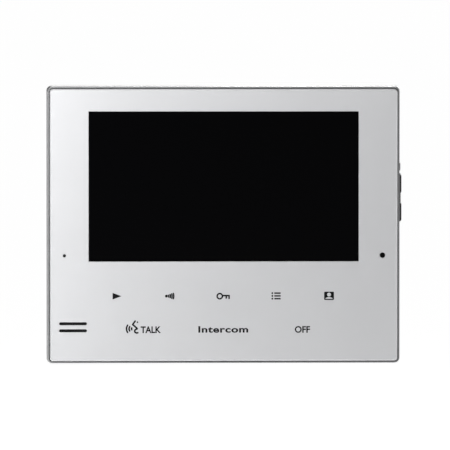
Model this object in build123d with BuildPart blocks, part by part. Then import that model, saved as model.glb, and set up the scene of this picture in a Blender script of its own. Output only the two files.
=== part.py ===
"""Wall-hung video intercom monitor on a steel wall bracket.

Depth is the distance out from the wall, along -Y. +X is right and +Z is up, as seen from the front.
The origin is the centre of the wall bracket's screw pattern, on the wall.
"""
from build123d import *
import os

os.makedirs("parts", exist_ok=True)

# ---------------------------------------------------------------- overall body
body_w = 208.5  # widest, at the case split
body_h = 163.9
body_depth = 24.0  # wall to the front of the silver panel
corner_r = 3.0
shell = 2.0  # case walls
wall_gap = 0.5  # the case stands this far off the wall
split_depth = 12.0  # where the front frame meets the rear case
draft_run = 0.6  # each side wall flares by this from the lip to the split
fit_gap = 0.1  # fixed pieces that locate in each other
run_gap = 0.15  # pieces that slide past each other
thread_gap = 0.02  # screw shank in its hole
blind_end = 0.5  # left at the end of a blind hole

# ---------------------------------------------------------------- front panel
lip_w = 0.7  # thin lip of the frame round the panel
lip_round = 0.25
groove_w = 0.5  # dark groove between lip and panel
panel_t = 2.2
panel_proud = 0.5  # panel front ahead of the lip
panel_r = 1.8
panel_edge = 0.6  # chamfer round the panel
tape_inset = 2.0
tape_t = 0.2
plate_t = 1.8  # frame plate behind the panel

# ---------------------------------------------------------------- display
window_w = 159.2
window_h = 88.4
window_top = 13.25  # panel's top edge to the window
window_edge = 0.225  # chamfer round the window
pane_t = 1.2
pane_sunk = 0.25
active_w = 154.1
active_h = 85.9
active_margin = 0.8  # openings stand this far outside the lit area
lcd_w = 165.0
lcd_h = 100.0
lcd_t = 5.6
lcd_gap = 0.2
bezel_t = 0.3
bezel_open = 1.0  # the bezel's wall stops this far short of the back
glass_t = 1.1
glass_inset = 1.6
retainer_t = 0.6
retainer_h = 92.0
retainer_hole_w = 36.0
retainer_hole_h = 28.0
retainer_rib = 12.0
lcd_post_x = 5.0  # post axis outside the display module
lcd_post_z = 32.0
lcd_post_r = 2.6
retainer_ear = 0.6  # past the posts

# ---------------------------------------------------------------- front holes
mic_inset = 8.55  # from the panel's left edge
mic_rise = 3.5  # above the window's lower edge
mic_r = 0.95
lens_inset = 8.85  # from the panel's right edge
lens_rise = 3.6
lens_r = 1.5
lens_proud = 0.1
lens_round = 0.3
lens_flange = 1.0
lens_room = 1.0  # from the touch board to the back of the lens
slot_inset = 13.65
slot_low = 20.0  # above the panel's lower edge
slot_pitch = 4.15
slot_l = 16.4
slot_h = 1.75
hole_edge = 0.15  # chamfer round the small holes

# ---------------------------------------------------------------- touch keys
key_pitch = 31.4
key_row_low = 38.3  # above the panel's lower edge
lower_row_low = 18.35
lower_row_pitches = 1.5
guide_r = 3.2
led_w = 2.0
led_t = 0.7
led_clear = 0.2  # round each light in its guide
pad_in_r = 3.5
pad_out_r = 4.8
key_hole_r = 5.1
touch_board_t = 1.6
touch_room = 5.6  # from the back of the panel to the touch board
touch_board_edge = 2.0  # inside the panel's right edge
touch_board_over = 8.2  # past the key rows
touch_board_clear = 3.7  # below the display module
speaker_clear = 2.4  # between the speaker well and the touch board
touch_arm_half = 3.1
touch_arm_over = 5.9
touch_post_r = 2.4
touch_post_in = 4.0
touch_post_right = 16.5
touch_chip_w = 7.0
touch_chip_t = 1.0
touch_chip_x = -20.0
touch_chip_drop = 9.0  # below the key row

# ---------------------------------------------------------------- right side
side_key_depth = 8.0  # keys' centre line behind the panel front
key_h = 10.15
key_d = 3.6
key_proud = 0.9
key_travel = 0.5
key_mark_l = 2.2  # plus and minus moulded into the key faces
key_mark_w = 0.45
key_mark_deep = 0.2
side_key_rise = 25.3  # lower key above the indicator
side_key_pitch = 16.55
key_round = 0.35
key_r = 0.4
key_post_r = 1.0
key_post_l = 0.3
carrier_over = 1.075  # above the upper key
carrier_under = 0.525  # below the lower key
carrier_d = 5.6
carrier_r = 0.6
carrier_round = 0.3
carrier_proud = 0.37
carrier_wall = 1.6
carrier_flange = 1.0
key_flange = 1.0
key_flange_t = 1.0
key_slack = 0.2
key_spare = 0.05  # between a pressed key's post and its switch
tact_t = 2.0
tact_w = 3.6
tact_h = 4.6
plunger_r = 0.9
plunger_t = 0.35
side_board_t = 1.2
side_board_under = 3.8  # below the carrier
side_board_over = 11.9  # above the carrier
side_board_d = 6.4
rib_t = 3.0
rib_side = 1.6
rib_slot = 0.5  # depth that the ribs hold the board's ends
side_socket_w = 4.0
side_socket_t = 2.4
knob_rise = 3.9  # above the carrier
knob_l = 4.4
knob_d = 2.4
knob_proud = 0.3
knob_travel = 2.0
knob_round = 0.2
switch_wall = 0.8
switch_t = 3.6
switch_floor = 1.0

# ---------------------------------------------------------------- rear case
rear_step = 0.3  # the rear case stands in from the front frame
taper_start = 6.0  # depth where the back begins to taper
taper_run = 3.5
tongue_t = 1.0
tongue_reach = 2.0  # in front of the split
tongue_root = 3.0  # behind the split
back_round = 0.8
recess_depth = 1.5
recess_side = 2.0  # round the bracket
recess_under = 1.0  # below the bracket when the monitor is lifted off
vent_pitch = 5.0
vent_l = 10.0
vent_w = 2.2
vent_inset = 13.0
vent_margin = 34.0
side_vent_inset = 29.7
side_vent_count = 7
side_vent_z = 8.0
pocket_w = 40.0
pocket_low = -33.0
pocket_top = -8.0
pocket_wall = 1.5
pocket_gap = 0.4
hook_side = 0.5  # beside each hook in its slot
lift_spare = 0.5
boss_r = 4.2
front_boss_r = 3.2
boss_end = 1.0  # bosses meet this far in front of the split
counterbore_r = 3.1
counterbore_end = 5.5
screw_inset_x = 16.0
screw_inset_z = 11.7
low_screw_x = 66.0
low_screw_inset = 7.7

# ---------------------------------------------------------------- wall bracket
bracket_w = 100.0
bracket_h = 116.0
bracket_t = 1.2
bracket_r = 4.0
bracket_window_w = 50.0
bracket_window_h = 68.0
wall_screw_x = 84.0
wall_screw_z = 100.0
wall_screw_r = 2.2
gang_screw_z = 83.5
round_screw_x = 60.0
box_screw_r = 2.1
hook_x = 38.0
hook_w = 10.0
hook_top_z = 34.0
hook_low_z = -40.0
hook_lip = 5.5
hook_gap = 0.3
hook_window = 10.5
hang_gap = 0.1
lift = 6.5

# ---------------------------------------------------------------- main board
board_t = 1.6
board_r = 2.0
board_w = 144.0
board_low = -52.0
board_top = 60.0
board_post_x = 66.0
board_post_inset = 6.0
post_r = 3.0
shield_at = (-24.0, 18.0)
shield_w = 34.0
shield_h = 30.0
shield_rise = 1.5
shield_t = 0.3
shield_r = 1.0
shield_room = 0.5  # between the shield and the display's retainer
processor_box = (-28.0, 18.0, 14.0, 14.0, 0.9)  # x, z, width, height, thickness
memory_boxes = [(14.0, 26.0, 11.0, 8.0, 1.0), (14.0, 12.0, 11.0, 8.0, 1.0), (36.0, 20.0, 6.0, 5.0, 0.9)]
cap_r = 3.15
cap_round = 0.5
cap_points = [(-20.0, 15.0), (-12.0, 15.0), (-4.0, 15.0)]
cap_clear = 0.8  # to the floor of the case
coil_at = (12.0, 15.0)
coil_w = 10.0
coil_clear = 1.3
plug_l = 5.0
plug_w = 4.0
plug_h = 2.0
plug_edge = 0.5
speaker_plug = (-58.0, -47.0)
display_plug_l = 34.0
display_plug_h = 1.6
display_plug_rise = 7.3  # above the display's lower edge
touch_plug_l = 12.0
touch_plug_h = 1.2
touch_plug_x = 20.0
touch_plug_z = -46.0

# ---------------------------------------------------------------- terminal block
ways = 6
way_pitch = 5.0
block_w = 32.0
block_low = -31.0
block_top = -21.0
block_rear = 3.4
wire_r = 1.1
wire_rise = 1.8  # from the board
wire_bore = 6.5
lever_w = 3.0
lever_h = 4.1
lever_z = -25.8
lever_proud = 1.0
lever_l = 2.6
lever_travel = 1.2
lever_slit_w = 1.8
lever_slit_h = 0.7  # groove for a screwdriver's tip
lever_slit_deep = 0.4
pin_r = 0.5
pin_z = -29.2
pin_in = 2.4
pin_out = 0.8

# ---------------------------------------------------------------- speaker and microphone
speaker_side = 0.9  # from the speaker's well to the side wall
speaker_r = 13.0
speaker_t = 7.4
magnet_r = 8.0
magnet_t = 3.6
gasket_t = 0.6
gasket_w = 1.6
well_t = 1.0
speaker_well = 3.5
mic_well = 2.5
basket_t = 0.8
basket_rim_w = 2.0
basket_rim_t = 1.2
cone_t = 0.3
cone_gap = 0.2
cone_room = 2.2
tab_w = 5.0
tab_h = 4.0
tab_in = 0.5  # the tab laps the magnet's edge less than its half width
magnet_round = 0.4
cloth_over = 1.5
boot_r = 4.4
boot_t = 4.0
capsule_r = 3.0
capsule_t = 2.5
capsule_sunk = 0.4

# ---------------------------------------------------------------- screws and leads
screw_r = 1.25
screw_head_r = 2.8
screw_head_t = 1.8
small_screw_r = 1.0
small_head_r = 2.0
small_head_t = 1.3
cross_l = 1.3  # cross recess, as shares of the head's radius and thickness
cross_w = 0.25
cross_deep = 0.55
lead_r = 0.5
lead_bend = 1.0
lead_rise = 1.2  # above the main board
ribbon_t = 0.2
ribbon_bend = 0.9
ribbon_exit = 3.6  # from the back of the display module
ribbon_dip = 2.0  # below the display's lower edge
display_ribbon_w = 30.0
display_ribbon_rise = 1.0
touch_ribbon_w = 10.0
touch_ribbon_rise = 0.6
touch_ribbon_run = 7.0
case_screw_l = 12.0
board_screw_l = 5.0
retainer_screw_l = 4.5
touch_screw_l = 4.0

# ---------------------------------------------------------------- worked out from the above
panel_w = body_w - 2 * (draft_run + lip_w + groove_w)
panel_h = body_h - 2 * (draft_run + lip_w + groove_w)
window_z = panel_h / 2 - window_top - window_h / 2
mic_x = mic_inset - panel_w / 2
mic_z = window_z - window_h / 2 + mic_rise
lens_x = panel_w / 2 - lens_inset
lens_z = window_z - window_h / 2 + lens_rise
slot_x = slot_inset - panel_w / 2
slot_z = slot_low - panel_h / 2
wall_in_x = body_w / 2 - shell
speaker_x = speaker_side + well_t + fit_gap + speaker_r - wall_in_x
key_row_z = key_row_low - panel_h / 2
lower_row_z = lower_row_low - panel_h / 2
lip_front = body_depth - panel_proud
panel_back = body_depth - panel_t
seat = panel_back - tape_t
plate_back = seat - plate_t
lcd_front = plate_back - lcd_gap
lcd_back = lcd_front - lcd_t
retainer_back = lcd_back - retainer_t
board_front = retainer_back - shield_room - shield_rise
board_back = board_front - board_t
lcd_low = window_z - lcd_h / 2
touch_front = panel_back - touch_room
touch_back = touch_front - touch_board_t
touch_left = speaker_x + speaker_r + fit_gap + well_t + speaker_clear
touch_right = panel_w / 2 - touch_board_edge
touch_low = lower_row_z - touch_board_over
touch_top = window_z - lcd_h / 2 - touch_board_clear
rear_w = body_w - 2 * rear_step
rear_h = body_h - 2 * rear_step
floor_in = wall_gap + shell
inner_r = corner_r - shell / 2
rib_room = rib_t - 2 * rib_slot
recess_floor = wall_gap + recess_depth
recess_in = recess_floor + shell
recess_w = bracket_w + 2 * recess_side
recess_low = -bracket_h / 2 - lift - recess_under
recess_top = bracket_h / 2 + recess_side
side_depth = body_depth - side_key_depth
key_low_z = lens_z + side_key_rise
key_top_z = key_low_z + side_key_pitch
carrier_top = key_top_z + key_h / 2 + carrier_over
carrier_low = key_low_z - key_h / 2 - carrier_under
side_board_top = carrier_top + side_board_over
side_board_low = carrier_low - side_board_under
carrier_mid = (carrier_low + carrier_top) / 2
carrier_h = carrier_top - carrier_low
carrier_in = wall_in_x - carrier_wall
side_key_points = [(-side_depth, key_top_z), (-side_depth, key_low_z)]
key_face_x = body_w / 2 + key_proud
flange_x = carrier_in - key_slack - key_flange_t
plunger_x = flange_x - key_post_l - key_travel - key_spare
board_face_x = plunger_x - plunger_t - tact_t
knob_z = carrier_top + knob_rise
knob_mid = knob_z + knob_travel / 2
knob_room = knob_l + knob_travel + 4 * run_gap
knob_in_x = board_face_x + switch_floor + run_gap
side_socket_x = board_face_x - side_board_t - side_socket_t
wire_depth = board_back - wire_rise
cap_h = board_back - recess_in - cap_clear
coil_t = board_back - recess_in - coil_clear
boss_meet = split_depth + boss_end
key_points = [(n * key_pitch, key_row_z) for n in (-2, -1, 0, 1, 2)]
key_points += [(n * lower_row_pitches * key_pitch, lower_row_z) for n in (-1, 1)]
touch_chip_box = (touch_chip_x, key_row_z - touch_chip_drop, touch_chip_w, touch_chip_w, touch_chip_t)
key_area_w = 4 * key_pitch + 2 * key_hole_r + tape_inset
key_area_h = key_row_z - lower_row_z + 2 * key_hole_r + tape_inset
lcd_post_points = [
    (sx * (lcd_w / 2 + lcd_post_x), window_z + sz * lcd_post_z) for sx in (-1, 1) for sz in (-1, 1)
]
touch_post_points = [
    (x, z)
    for x in (touch_left + touch_post_in, touch_right - touch_post_right)
    for z in (key_row_z + pad_out_r + touch_post_r + fit_gap, touch_low + touch_post_in)
]
screw_x = body_w / 2 - screw_inset_x
case_screw_points = [(sx * screw_x, body_h / 2 - screw_inset_z) for sx in (-1, 1)]
case_screw_points += [(sx * low_screw_x, low_screw_inset - body_h / 2) for sx in (-1, 1)]
board_post_points = [
    (sx * board_post_x, z)
    for sx in (-1, 1)
    for z in (board_low + board_post_inset, board_top - board_post_inset)
]
way_xs = [(n - (ways - 1) / 2) * way_pitch for n in range(ways)]
hook_points = [(sx * hook_x, z) for sx in (-1, 1) for z in (hook_top_z, hook_low_z)]


def layer(depth):
    """Plane parallel to the wall at a depth: local x is X, local y is Z, and its normal points forwards."""
    return Plane.XZ.offset(depth)


def side(x):
    """Plane across the body at an x: local x is Y, which is minus the depth, and local y is Z."""
    return Plane.YZ.offset(x)


def screw_group(points, seat_depth, way, shank_r, head_r, head_t, length):
    """Cross-head screws along the depth axis. The shanks run forwards for way 1 and backwards for way -1."""
    with BuildPart() as group:
        with BuildSketch(layer(seat_depth)):
            with Locations(*points):
                Circle(head_r)
        extrude(amount=-way * head_t)
        with BuildSketch(layer(seat_depth)):
            with Locations(*points):
                Circle(shank_r)
        extrude(amount=way * length)
        with BuildSketch(layer(seat_depth - way * head_t)):
            with Locations(*points):
                Rectangle(cross_l * head_r, cross_w * head_r)
                Rectangle(cross_w * head_r, cross_l * head_r)
        extrude(amount=way * cross_deep * head_t, mode=Mode.SUBTRACT)
    return group


def small_screws(points, seat_depth, way, length):
    """The board and display screws, which share one thread and head."""
    return screw_group(points, seat_depth, way, small_screw_r, small_head_r, small_head_t, length)


def lead(points):
    """A round lead along straight runs joined by arcs; points are (x, depth, z)."""
    with BuildPart() as run:
        with BuildLine() as path:
            FilletPolyline(*[(x, -depth, z) for x, depth, z in points], radius=lead_bend)
        with BuildSketch(Plane(origin=path.line @ 0, z_dir=path.line % 0)):
            Circle(lead_r)
        sweep()
    return run


def ribbon(x, width, points):
    """A flat cable of one width; points are (depth, z) in the plane across the body."""
    with BuildPart() as run:
        with BuildSketch(side(x - width / 2)):
            with BuildLine() as path:
                FilletPolyline(*[(-depth, z) for depth, z in points], radius=ribbon_bend)
            trace(line_width=ribbon_t)
        extrude(amount=width)
    return run


def block_group(items, depth, way):
    """Rectangular components standing on a board face; items are (x, z, width, height, thickness)."""
    with BuildPart() as group:
        for x, z, width, height, thick in items:
            with BuildSketch(layer(depth)):
                with Locations((x, z)):
                    Rectangle(width, height)
            extrude(amount=way * thick)
    return group


# ================================================================ wall bracket
with BuildPart() as wall_bracket:
    with BuildSketch(layer(0)):
        RectangleRounded(bracket_w, bracket_h, bracket_r)
        RectangleRounded(bracket_window_w, bracket_window_h, bracket_r, mode=Mode.SUBTRACT)
        with GridLocations(wall_screw_x, wall_screw_z, 2, 2):
            Circle(wall_screw_r, mode=Mode.SUBTRACT)
        with GridLocations(0, gang_screw_z, 1, 2):
            Circle(box_screw_r, mode=Mode.SUBTRACT)
        with GridLocations(round_screw_x, 0, 2, 1):
            Circle(box_screw_r, mode=Mode.SUBTRACT)
        with Locations(*[(x, z + hook_window / 2) for x, z in hook_points]):
            Rectangle(hook_w, hook_window, mode=Mode.SUBTRACT)
    extrude(amount=bracket_t)
    hook_in = recess_in + hook_gap
    hook_out = hook_in + bracket_t
    for x, z in hook_points:
        with BuildSketch(side(x - hook_w / 2)):
            with BuildLine():
                Polyline(
                    (-bracket_t / 2, z - bracket_t),
                    (-hook_out, z - bracket_t),
                    (-hook_out, z + hook_lip),
                    (-hook_in, z + hook_lip),
                    (-hook_in, z),
                    (-bracket_t / 2, z),
                    close=True,
                )
            make_face()
        extrude(amount=hook_w)
wall_bracket.part.label = "wall_bracket"
export_step(wall_bracket.part, "parts/wall_bracket.step")

# ================================================================ rear case
with BuildPart() as rear_case:
    with BuildSketch(layer(taper_start)):
        RectangleRounded(rear_w, rear_h, corner_r)
    extrude(amount=split_depth - taper_start)
    with BuildSketch(layer(taper_start)):
        RectangleRounded(rear_w, rear_h, corner_r)
    with BuildSketch(layer(wall_gap)):
        RectangleRounded(rear_w - 2 * taper_run, rear_h - 2 * taper_run, corner_r)
    loft()
    back_edge = rear_case.faces().sort_by(Axis.Y)[-1].outer_wire().edges()
    fillet(back_edge, radius=back_round)
    # hollow
    with BuildSketch(layer(taper_start)):
        RectangleRounded(rear_w - 2 * shell, rear_h - 2 * shell, inner_r)
    extrude(amount=split_depth - taper_start, mode=Mode.SUBTRACT)
    with BuildSketch(layer(taper_start)):
        RectangleRounded(rear_w - 2 * shell, rear_h - 2 * shell, inner_r)
    with BuildSketch(layer(floor_in)):
        RectangleRounded(rear_w - 2 * taper_run - 2 * shell, rear_h - 2 * taper_run - 2 * shell, inner_r)
    loft(mode=Mode.SUBTRACT)
    # recess for the bracket, with the floor raised behind it
    recess_h = recess_top - recess_low
    recess_mid = (recess_top + recess_low) / 2
    with BuildSketch(layer(floor_in - shell / 2)):
        with Locations((0, recess_mid)):
            RectangleRounded(recess_w + 2 * shell, recess_h + 2 * shell, corner_r)
    extrude(amount=recess_in - floor_in + shell / 2)
    with BuildSketch(layer(0)):
        with Locations((0, recess_mid)):
            RectangleRounded(recess_w, recess_h, corner_r)
    extrude(amount=recess_floor, mode=Mode.SUBTRACT)
    # slots that the bracket hooks pass through
    slot_up = hang_gap
    slot_down = bracket_t + lift + lift_spare
    with BuildSketch(layer(recess_floor)):
        with Locations(*[(x, z + (slot_up - slot_down) / 2) for x, z in hook_points]):
            Rectangle(hook_w + 2 * hook_side, slot_up + slot_down)
    extrude(amount=shell, mode=Mode.SUBTRACT)
    # tongue that locates inside the front frame
    tongue_w = body_w - 2 * (shell + run_gap)
    tongue_h = body_h - 2 * (shell + run_gap)
    with BuildSketch(layer(split_depth - tongue_root)):
        RectangleRounded(tongue_w, tongue_h, inner_r)
        RectangleRounded(tongue_w - 2 * tongue_t, tongue_h - 2 * tongue_t, inner_r / 2, mode=Mode.SUBTRACT)
    extrude(amount=tongue_root + tongue_reach)
    with BuildSketch(side(wall_in_x - 2 * tongue_t)):
        with Locations((-split_depth - tongue_reach / 2 - fit_gap, (side_board_low + side_board_top) / 2)):
            Rectangle(tongue_reach + 2 * fit_gap, side_board_top - side_board_low + 2 * rib_room)
    extrude(amount=2 * tongue_t, mode=Mode.SUBTRACT)
    # screw bosses with counterbored heads
    with BuildSketch(layer(floor_in - shell / 2)):
        with Locations(*case_screw_points):
            Circle(boss_r)
    extrude(amount=boss_meet - floor_in + shell / 2)
    with BuildSketch(layer(0)):
        with Locations(*case_screw_points):
            Circle(counterbore_r)
    extrude(amount=counterbore_end, mode=Mode.SUBTRACT)
    with BuildSketch(layer(0)):
        with Locations(*case_screw_points):
            Circle(screw_r + run_gap)
    extrude(amount=boss_meet, mode=Mode.SUBTRACT)
    # board posts
    with BuildSketch(layer(floor_in - shell / 2)):
        with Locations(*board_post_points):
            Circle(post_r)
    extrude(amount=board_back - floor_in + shell / 2)
    with BuildSketch(layer(floor_in + shell)):
        with Locations(*board_post_points):
            Circle(small_screw_r + thread_gap)
    extrude(amount=board_back - floor_in - shell, mode=Mode.SUBTRACT)
    # terminal pocket, open to the wall, with walls down to the board
    pocket_h = pocket_top - pocket_low
    pocket_mid = (pocket_top + pocket_low) / 2
    with BuildSketch(layer(recess_in - shell / 2)):
        with Locations((0, pocket_mid)):
            Rectangle(pocket_w + 2 * pocket_wall, pocket_h + 2 * pocket_wall)
    extrude(amount=board_back - pocket_gap - recess_in + shell / 2)
    with BuildSketch(layer(recess_floor)):
        with Locations((0, pocket_mid)):
            Rectangle(pocket_w, pocket_h)
    extrude(amount=board_back, mode=Mode.SUBTRACT)
    # vents
    vent_count = int((rear_w - 2 * vent_margin) / vent_pitch)
    side_vent_x = rear_w / 2 - side_vent_inset
    with BuildSketch(layer(0)):
        with Locations((0, rear_h / 2 - vent_inset)):
            with GridLocations(vent_pitch, 0, vent_count, 1):
                SlotOverall(vent_l, vent_w, rotation=90)
        with Locations((-side_vent_x, side_vent_z), (side_vent_x, side_vent_z)):
            with GridLocations(0, vent_pitch, 1, side_vent_count):
                SlotOverall(2 * vent_l, vent_w)
    extrude(amount=floor_in, mode=Mode.SUBTRACT)
rear_case.part.label = "rear_case"
export_step(rear_case.part, "parts/rear_case.step")

# ================================================================ front frame
with BuildPart() as front_frame:
    with BuildSketch(layer(split_depth)):
        RectangleRounded(body_w, body_h, corner_r)
    with BuildSketch(layer(lip_front)):
        RectangleRounded(body_w - 2 * draft_run, body_h - 2 * draft_run, corner_r)
    loft()
    fillet(front_frame.faces().sort_by(Axis.Y)[0].edges(), radius=lip_round)
    with BuildSketch(layer(split_depth)):
        RectangleRounded(body_w - 2 * shell, body_h - 2 * shell, inner_r)
    extrude(amount=plate_back - split_depth, mode=Mode.SUBTRACT)
    with BuildSketch(layer(seat)):
        RectangleRounded(panel_w + 2 * groove_w, panel_h + 2 * groove_w, panel_r + groove_w)
    extrude(amount=lip_front - seat, mode=Mode.SUBTRACT)
    # openings through the plate
    with BuildSketch(layer(plate_back)):
        with Locations((0, window_z)):
            Rectangle(active_w + 4 * active_margin, active_h + 4 * active_margin)
        with Locations((mic_x, mic_z)):
            Circle(mic_r)
        with Locations((lens_x, lens_z)):
            Circle(lens_r + lens_flange + fit_gap)
        with Locations((slot_x, slot_z)):
            with GridLocations(0, slot_pitch, 1, 2):
                SlotOverall(slot_l, slot_h)
        with Locations(*key_points):
            Circle(key_hole_r)
    extrude(amount=plate_t, mode=Mode.SUBTRACT)
    # posts and bosses behind the plate
    with BuildSketch(layer(plate_back)):
        with Locations(*lcd_post_points):
            Circle(lcd_post_r)
    extrude(amount=lcd_back - plate_back)
    with BuildSketch(layer(plate_back)):
        with Locations(*touch_post_points):
            Circle(touch_post_r)
    extrude(amount=touch_front - plate_back)
    with BuildSketch(layer(plate_back)):
        with Locations(*case_screw_points):
            Circle(front_boss_r)
    extrude(amount=boss_meet - plate_back)
    with BuildSketch(layer(plate_back)):
        with Locations((speaker_x, slot_z)):
            Circle(speaker_r + fit_gap + well_t)
            Circle(speaker_r + fit_gap, mode=Mode.SUBTRACT)
    extrude(amount=-speaker_well)
    with BuildSketch(layer(plate_back)):
        with Locations((mic_x, mic_z)):
            Circle(boot_r + fit_gap + well_t)
            Circle(boot_r + fit_gap, mode=Mode.SUBTRACT)
    extrude(amount=-mic_well)
    # pilot holes
    with BuildSketch(layer(lcd_back)):
        with Locations(*lcd_post_points):
            Circle(small_screw_r + thread_gap)
    extrude(amount=plate_back - lcd_back - blind_end, mode=Mode.SUBTRACT)
    with BuildSketch(layer(touch_front)):
        with Locations(*touch_post_points):
            Circle(small_screw_r + thread_gap)
    extrude(amount=plate_back - touch_front + blind_end, mode=Mode.SUBTRACT)
    with BuildSketch(layer(boss_meet)):
        with Locations(*case_screw_points):
            Circle(screw_r + thread_gap)
    extrude(amount=plate_back - boss_meet - blind_end, mode=Mode.SUBTRACT)
    # slotted ribs that hold the side board's two ends
    board_mid_x = board_face_x - side_board_t / 2
    for end_z, way in ((side_board_low, -1), (side_board_top, 1)):
        with BuildSketch(layer(plate_back)):
            with Locations((board_mid_x, end_z + way * (rib_t / 2 - rib_slot))):
                Rectangle(side_board_t + 2 * rib_side, rib_t)
            with Locations((board_mid_x, end_z - way * (rib_slot - fit_gap) / 2)):
                Rectangle(side_board_t + 2 * fit_gap, rib_slot + fit_gap, mode=Mode.SUBTRACT)
        extrude(amount=side_depth - plate_back)
    # openings in the right wall
    with BuildSketch(side(wall_in_x - 1)):
        with Locations((-side_depth, carrier_mid)):
            Rectangle(carrier_d + 2 * fit_gap, carrier_h + 2 * fit_gap)
        with Locations((-side_depth, knob_mid)):
            SlotOverall(knob_room, knob_d + 2 * run_gap, rotation=90)
    extrude(amount=shell + 2, mode=Mode.SUBTRACT)
front_frame.part.label = "front_frame"
export_step(front_frame.part, "parts/front_frame.step")

# ================================================================ front panel
with BuildPart() as front_panel:
    with BuildSketch(layer(panel_back)):
        RectangleRounded(panel_w, panel_h, panel_r)
        with Locations((0, window_z)):
            Rectangle(active_w + 2 * active_margin, active_h + 2 * active_margin, mode=Mode.SUBTRACT)
        with Locations((mic_x, mic_z)):
            Circle(mic_r, mode=Mode.SUBTRACT)
        with Locations((lens_x, lens_z)):
            Circle(lens_r + run_gap / 2, mode=Mode.SUBTRACT)
        with Locations((slot_x, slot_z)):
            with GridLocations(0, slot_pitch, 1, 2):
                SlotOverall(slot_l, slot_h, mode=Mode.SUBTRACT)
    extrude(amount=panel_t)
    pane_seat = body_depth - pane_sunk - pane_t
    with BuildSketch(layer(pane_seat)):
        with Locations((0, window_z)):
            Rectangle(window_w, window_h)
    extrude(amount=body_depth - pane_seat, mode=Mode.SUBTRACT)
    openings = front_panel.faces().sort_by(Axis.Y)[0].inner_wires().sort_by(SortBy.LENGTH)
    small_holes = [edge for wire in openings[:-1] for edge in wire.edges()]
    chamfer(openings[-1].edges(), length=window_edge)
    chamfer(small_holes, length=hole_edge)
    rim = front_panel.faces().sort_by(Axis.Y)[0].outer_wire().edges()
    chamfer(rim, length=panel_edge)
front_panel.part.label = "front_panel"
export_step(front_panel.part, "parts/front_panel.step")

# ================================================================ display
with BuildPart() as display_window:
    with BuildSketch(layer(pane_seat)):
        with Locations((0, window_z)):
            Rectangle(window_w - fit_gap, window_h - fit_gap)
    extrude(amount=pane_t)
display_window.part.label = "display_window"
export_step(display_window.part, "parts/display_window.step")

with BuildPart() as panel_tape:
    with BuildSketch(layer(seat)):
        Rectangle(panel_w - 2 * tape_inset, panel_h - 2 * tape_inset)
        with Locations((0, window_z)):
            Rectangle(active_w + 3 * tape_inset, active_h + 3 * tape_inset, mode=Mode.SUBTRACT)
        with Locations((0, (key_row_z + lower_row_z) / 2)):
            Rectangle(key_area_w, key_area_h, mode=Mode.SUBTRACT)
        with Locations((slot_x, slot_z)):
            Rectangle(slot_l + 2 * tape_inset, slot_pitch + slot_h + 2 * tape_inset, mode=Mode.SUBTRACT)
        with Locations((mic_x, mic_z), (lens_x, lens_z)):
            Circle(lens_r + lens_flange + tape_inset / 2, mode=Mode.SUBTRACT)
    extrude(amount=tape_t)
panel_tape.part.label = "panel_tape"
export_step(panel_tape.part, "parts/panel_tape.step")

with BuildPart() as lcd_bezel:
    with BuildSketch(layer(lcd_back + bezel_open)):
        with Locations((0, window_z)):
            Rectangle(lcd_w, lcd_h)
            Rectangle(lcd_w - 2 * bezel_t, lcd_h - 2 * bezel_t, mode=Mode.SUBTRACT)
    extrude(amount=lcd_t - bezel_open)
    with BuildSketch(layer(lcd_front - bezel_t)):
        with Locations((0, window_z)):
            Rectangle(lcd_w, lcd_h)
            Rectangle(active_w + active_margin, active_h + active_margin, mode=Mode.SUBTRACT)
    extrude(amount=bezel_t)
lcd_bezel.part.label = "lcd_bezel"
export_step(lcd_bezel.part, "parts/lcd_bezel.step")

with BuildPart() as lcd_glass:
    with BuildSketch(layer(lcd_front - bezel_t - glass_t)):
        with Locations((0, window_z)):
            Rectangle(lcd_w - 2 * glass_inset, lcd_h - 2 * glass_inset)
    extrude(amount=glass_t)
lcd_glass.part.label = "lcd_glass"
export_step(lcd_glass.part, "parts/lcd_glass.step")

with BuildPart() as lcd_backlight:
    with BuildSketch(layer(lcd_back)):
        with Locations((0, window_z)):
            Rectangle(lcd_w - 2 * bezel_t - fit_gap, lcd_h - 2 * bezel_t - fit_gap)
    extrude(amount=lcd_t - bezel_t - glass_t)
lcd_backlight.part.label = "lcd_backlight"
export_step(lcd_backlight.part, "parts/lcd_backlight.step")

ear_r = lcd_post_r + retainer_ear
with BuildPart() as lcd_retainer:
    with BuildSketch(layer(retainer_back)):
        with Locations((0, window_z)):
            Rectangle(lcd_w, retainer_h)
        with Locations(*lcd_post_points):
            Circle(ear_r)
        for way in (-1, 1):
            with Locations((0, window_z + way * lcd_post_z)):
                Rectangle(lcd_w + 2 * lcd_post_x, 2 * ear_r)
        with Locations(*lcd_post_points):
            Circle(small_screw_r + run_gap, mode=Mode.SUBTRACT)
        with Locations((0, window_z)):
            with GridLocations(retainer_hole_w + retainer_rib, retainer_hole_h + retainer_rib, 3, 2):
                RectangleRounded(retainer_hole_w, retainer_hole_h, retainer_rib / 3, mode=Mode.SUBTRACT)
    extrude(amount=retainer_t)
lcd_retainer.part.label = "lcd_retainer"
export_step(lcd_retainer.part, "parts/lcd_retainer.step")

retainer_screws = small_screws(lcd_post_points, retainer_back, 1, retainer_screw_l)
retainer_screws.part.label = "retainer_screws"
export_step(retainer_screws.part, "parts/retainer_screws.step")

# ================================================================ touch keys
with BuildPart() as touch_board:
    with BuildSketch(layer(touch_back)):
        with BuildLine():
            Polyline(
                (touch_left, touch_low),
                (touch_right, touch_low),
                (touch_right, lens_z + touch_arm_over),
                (lens_x - touch_arm_half, lens_z + touch_arm_over),
                (lens_x - touch_arm_half, touch_top),
                (touch_left, touch_top),
                close=True,
            )
        make_face()
        with Locations(*touch_post_points):
            Circle(small_screw_r + run_gap, mode=Mode.SUBTRACT)
    extrude(amount=touch_board_t)
touch_board.part.label = "touch_board"
export_step(touch_board.part, "parts/touch_board.step")

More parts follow.
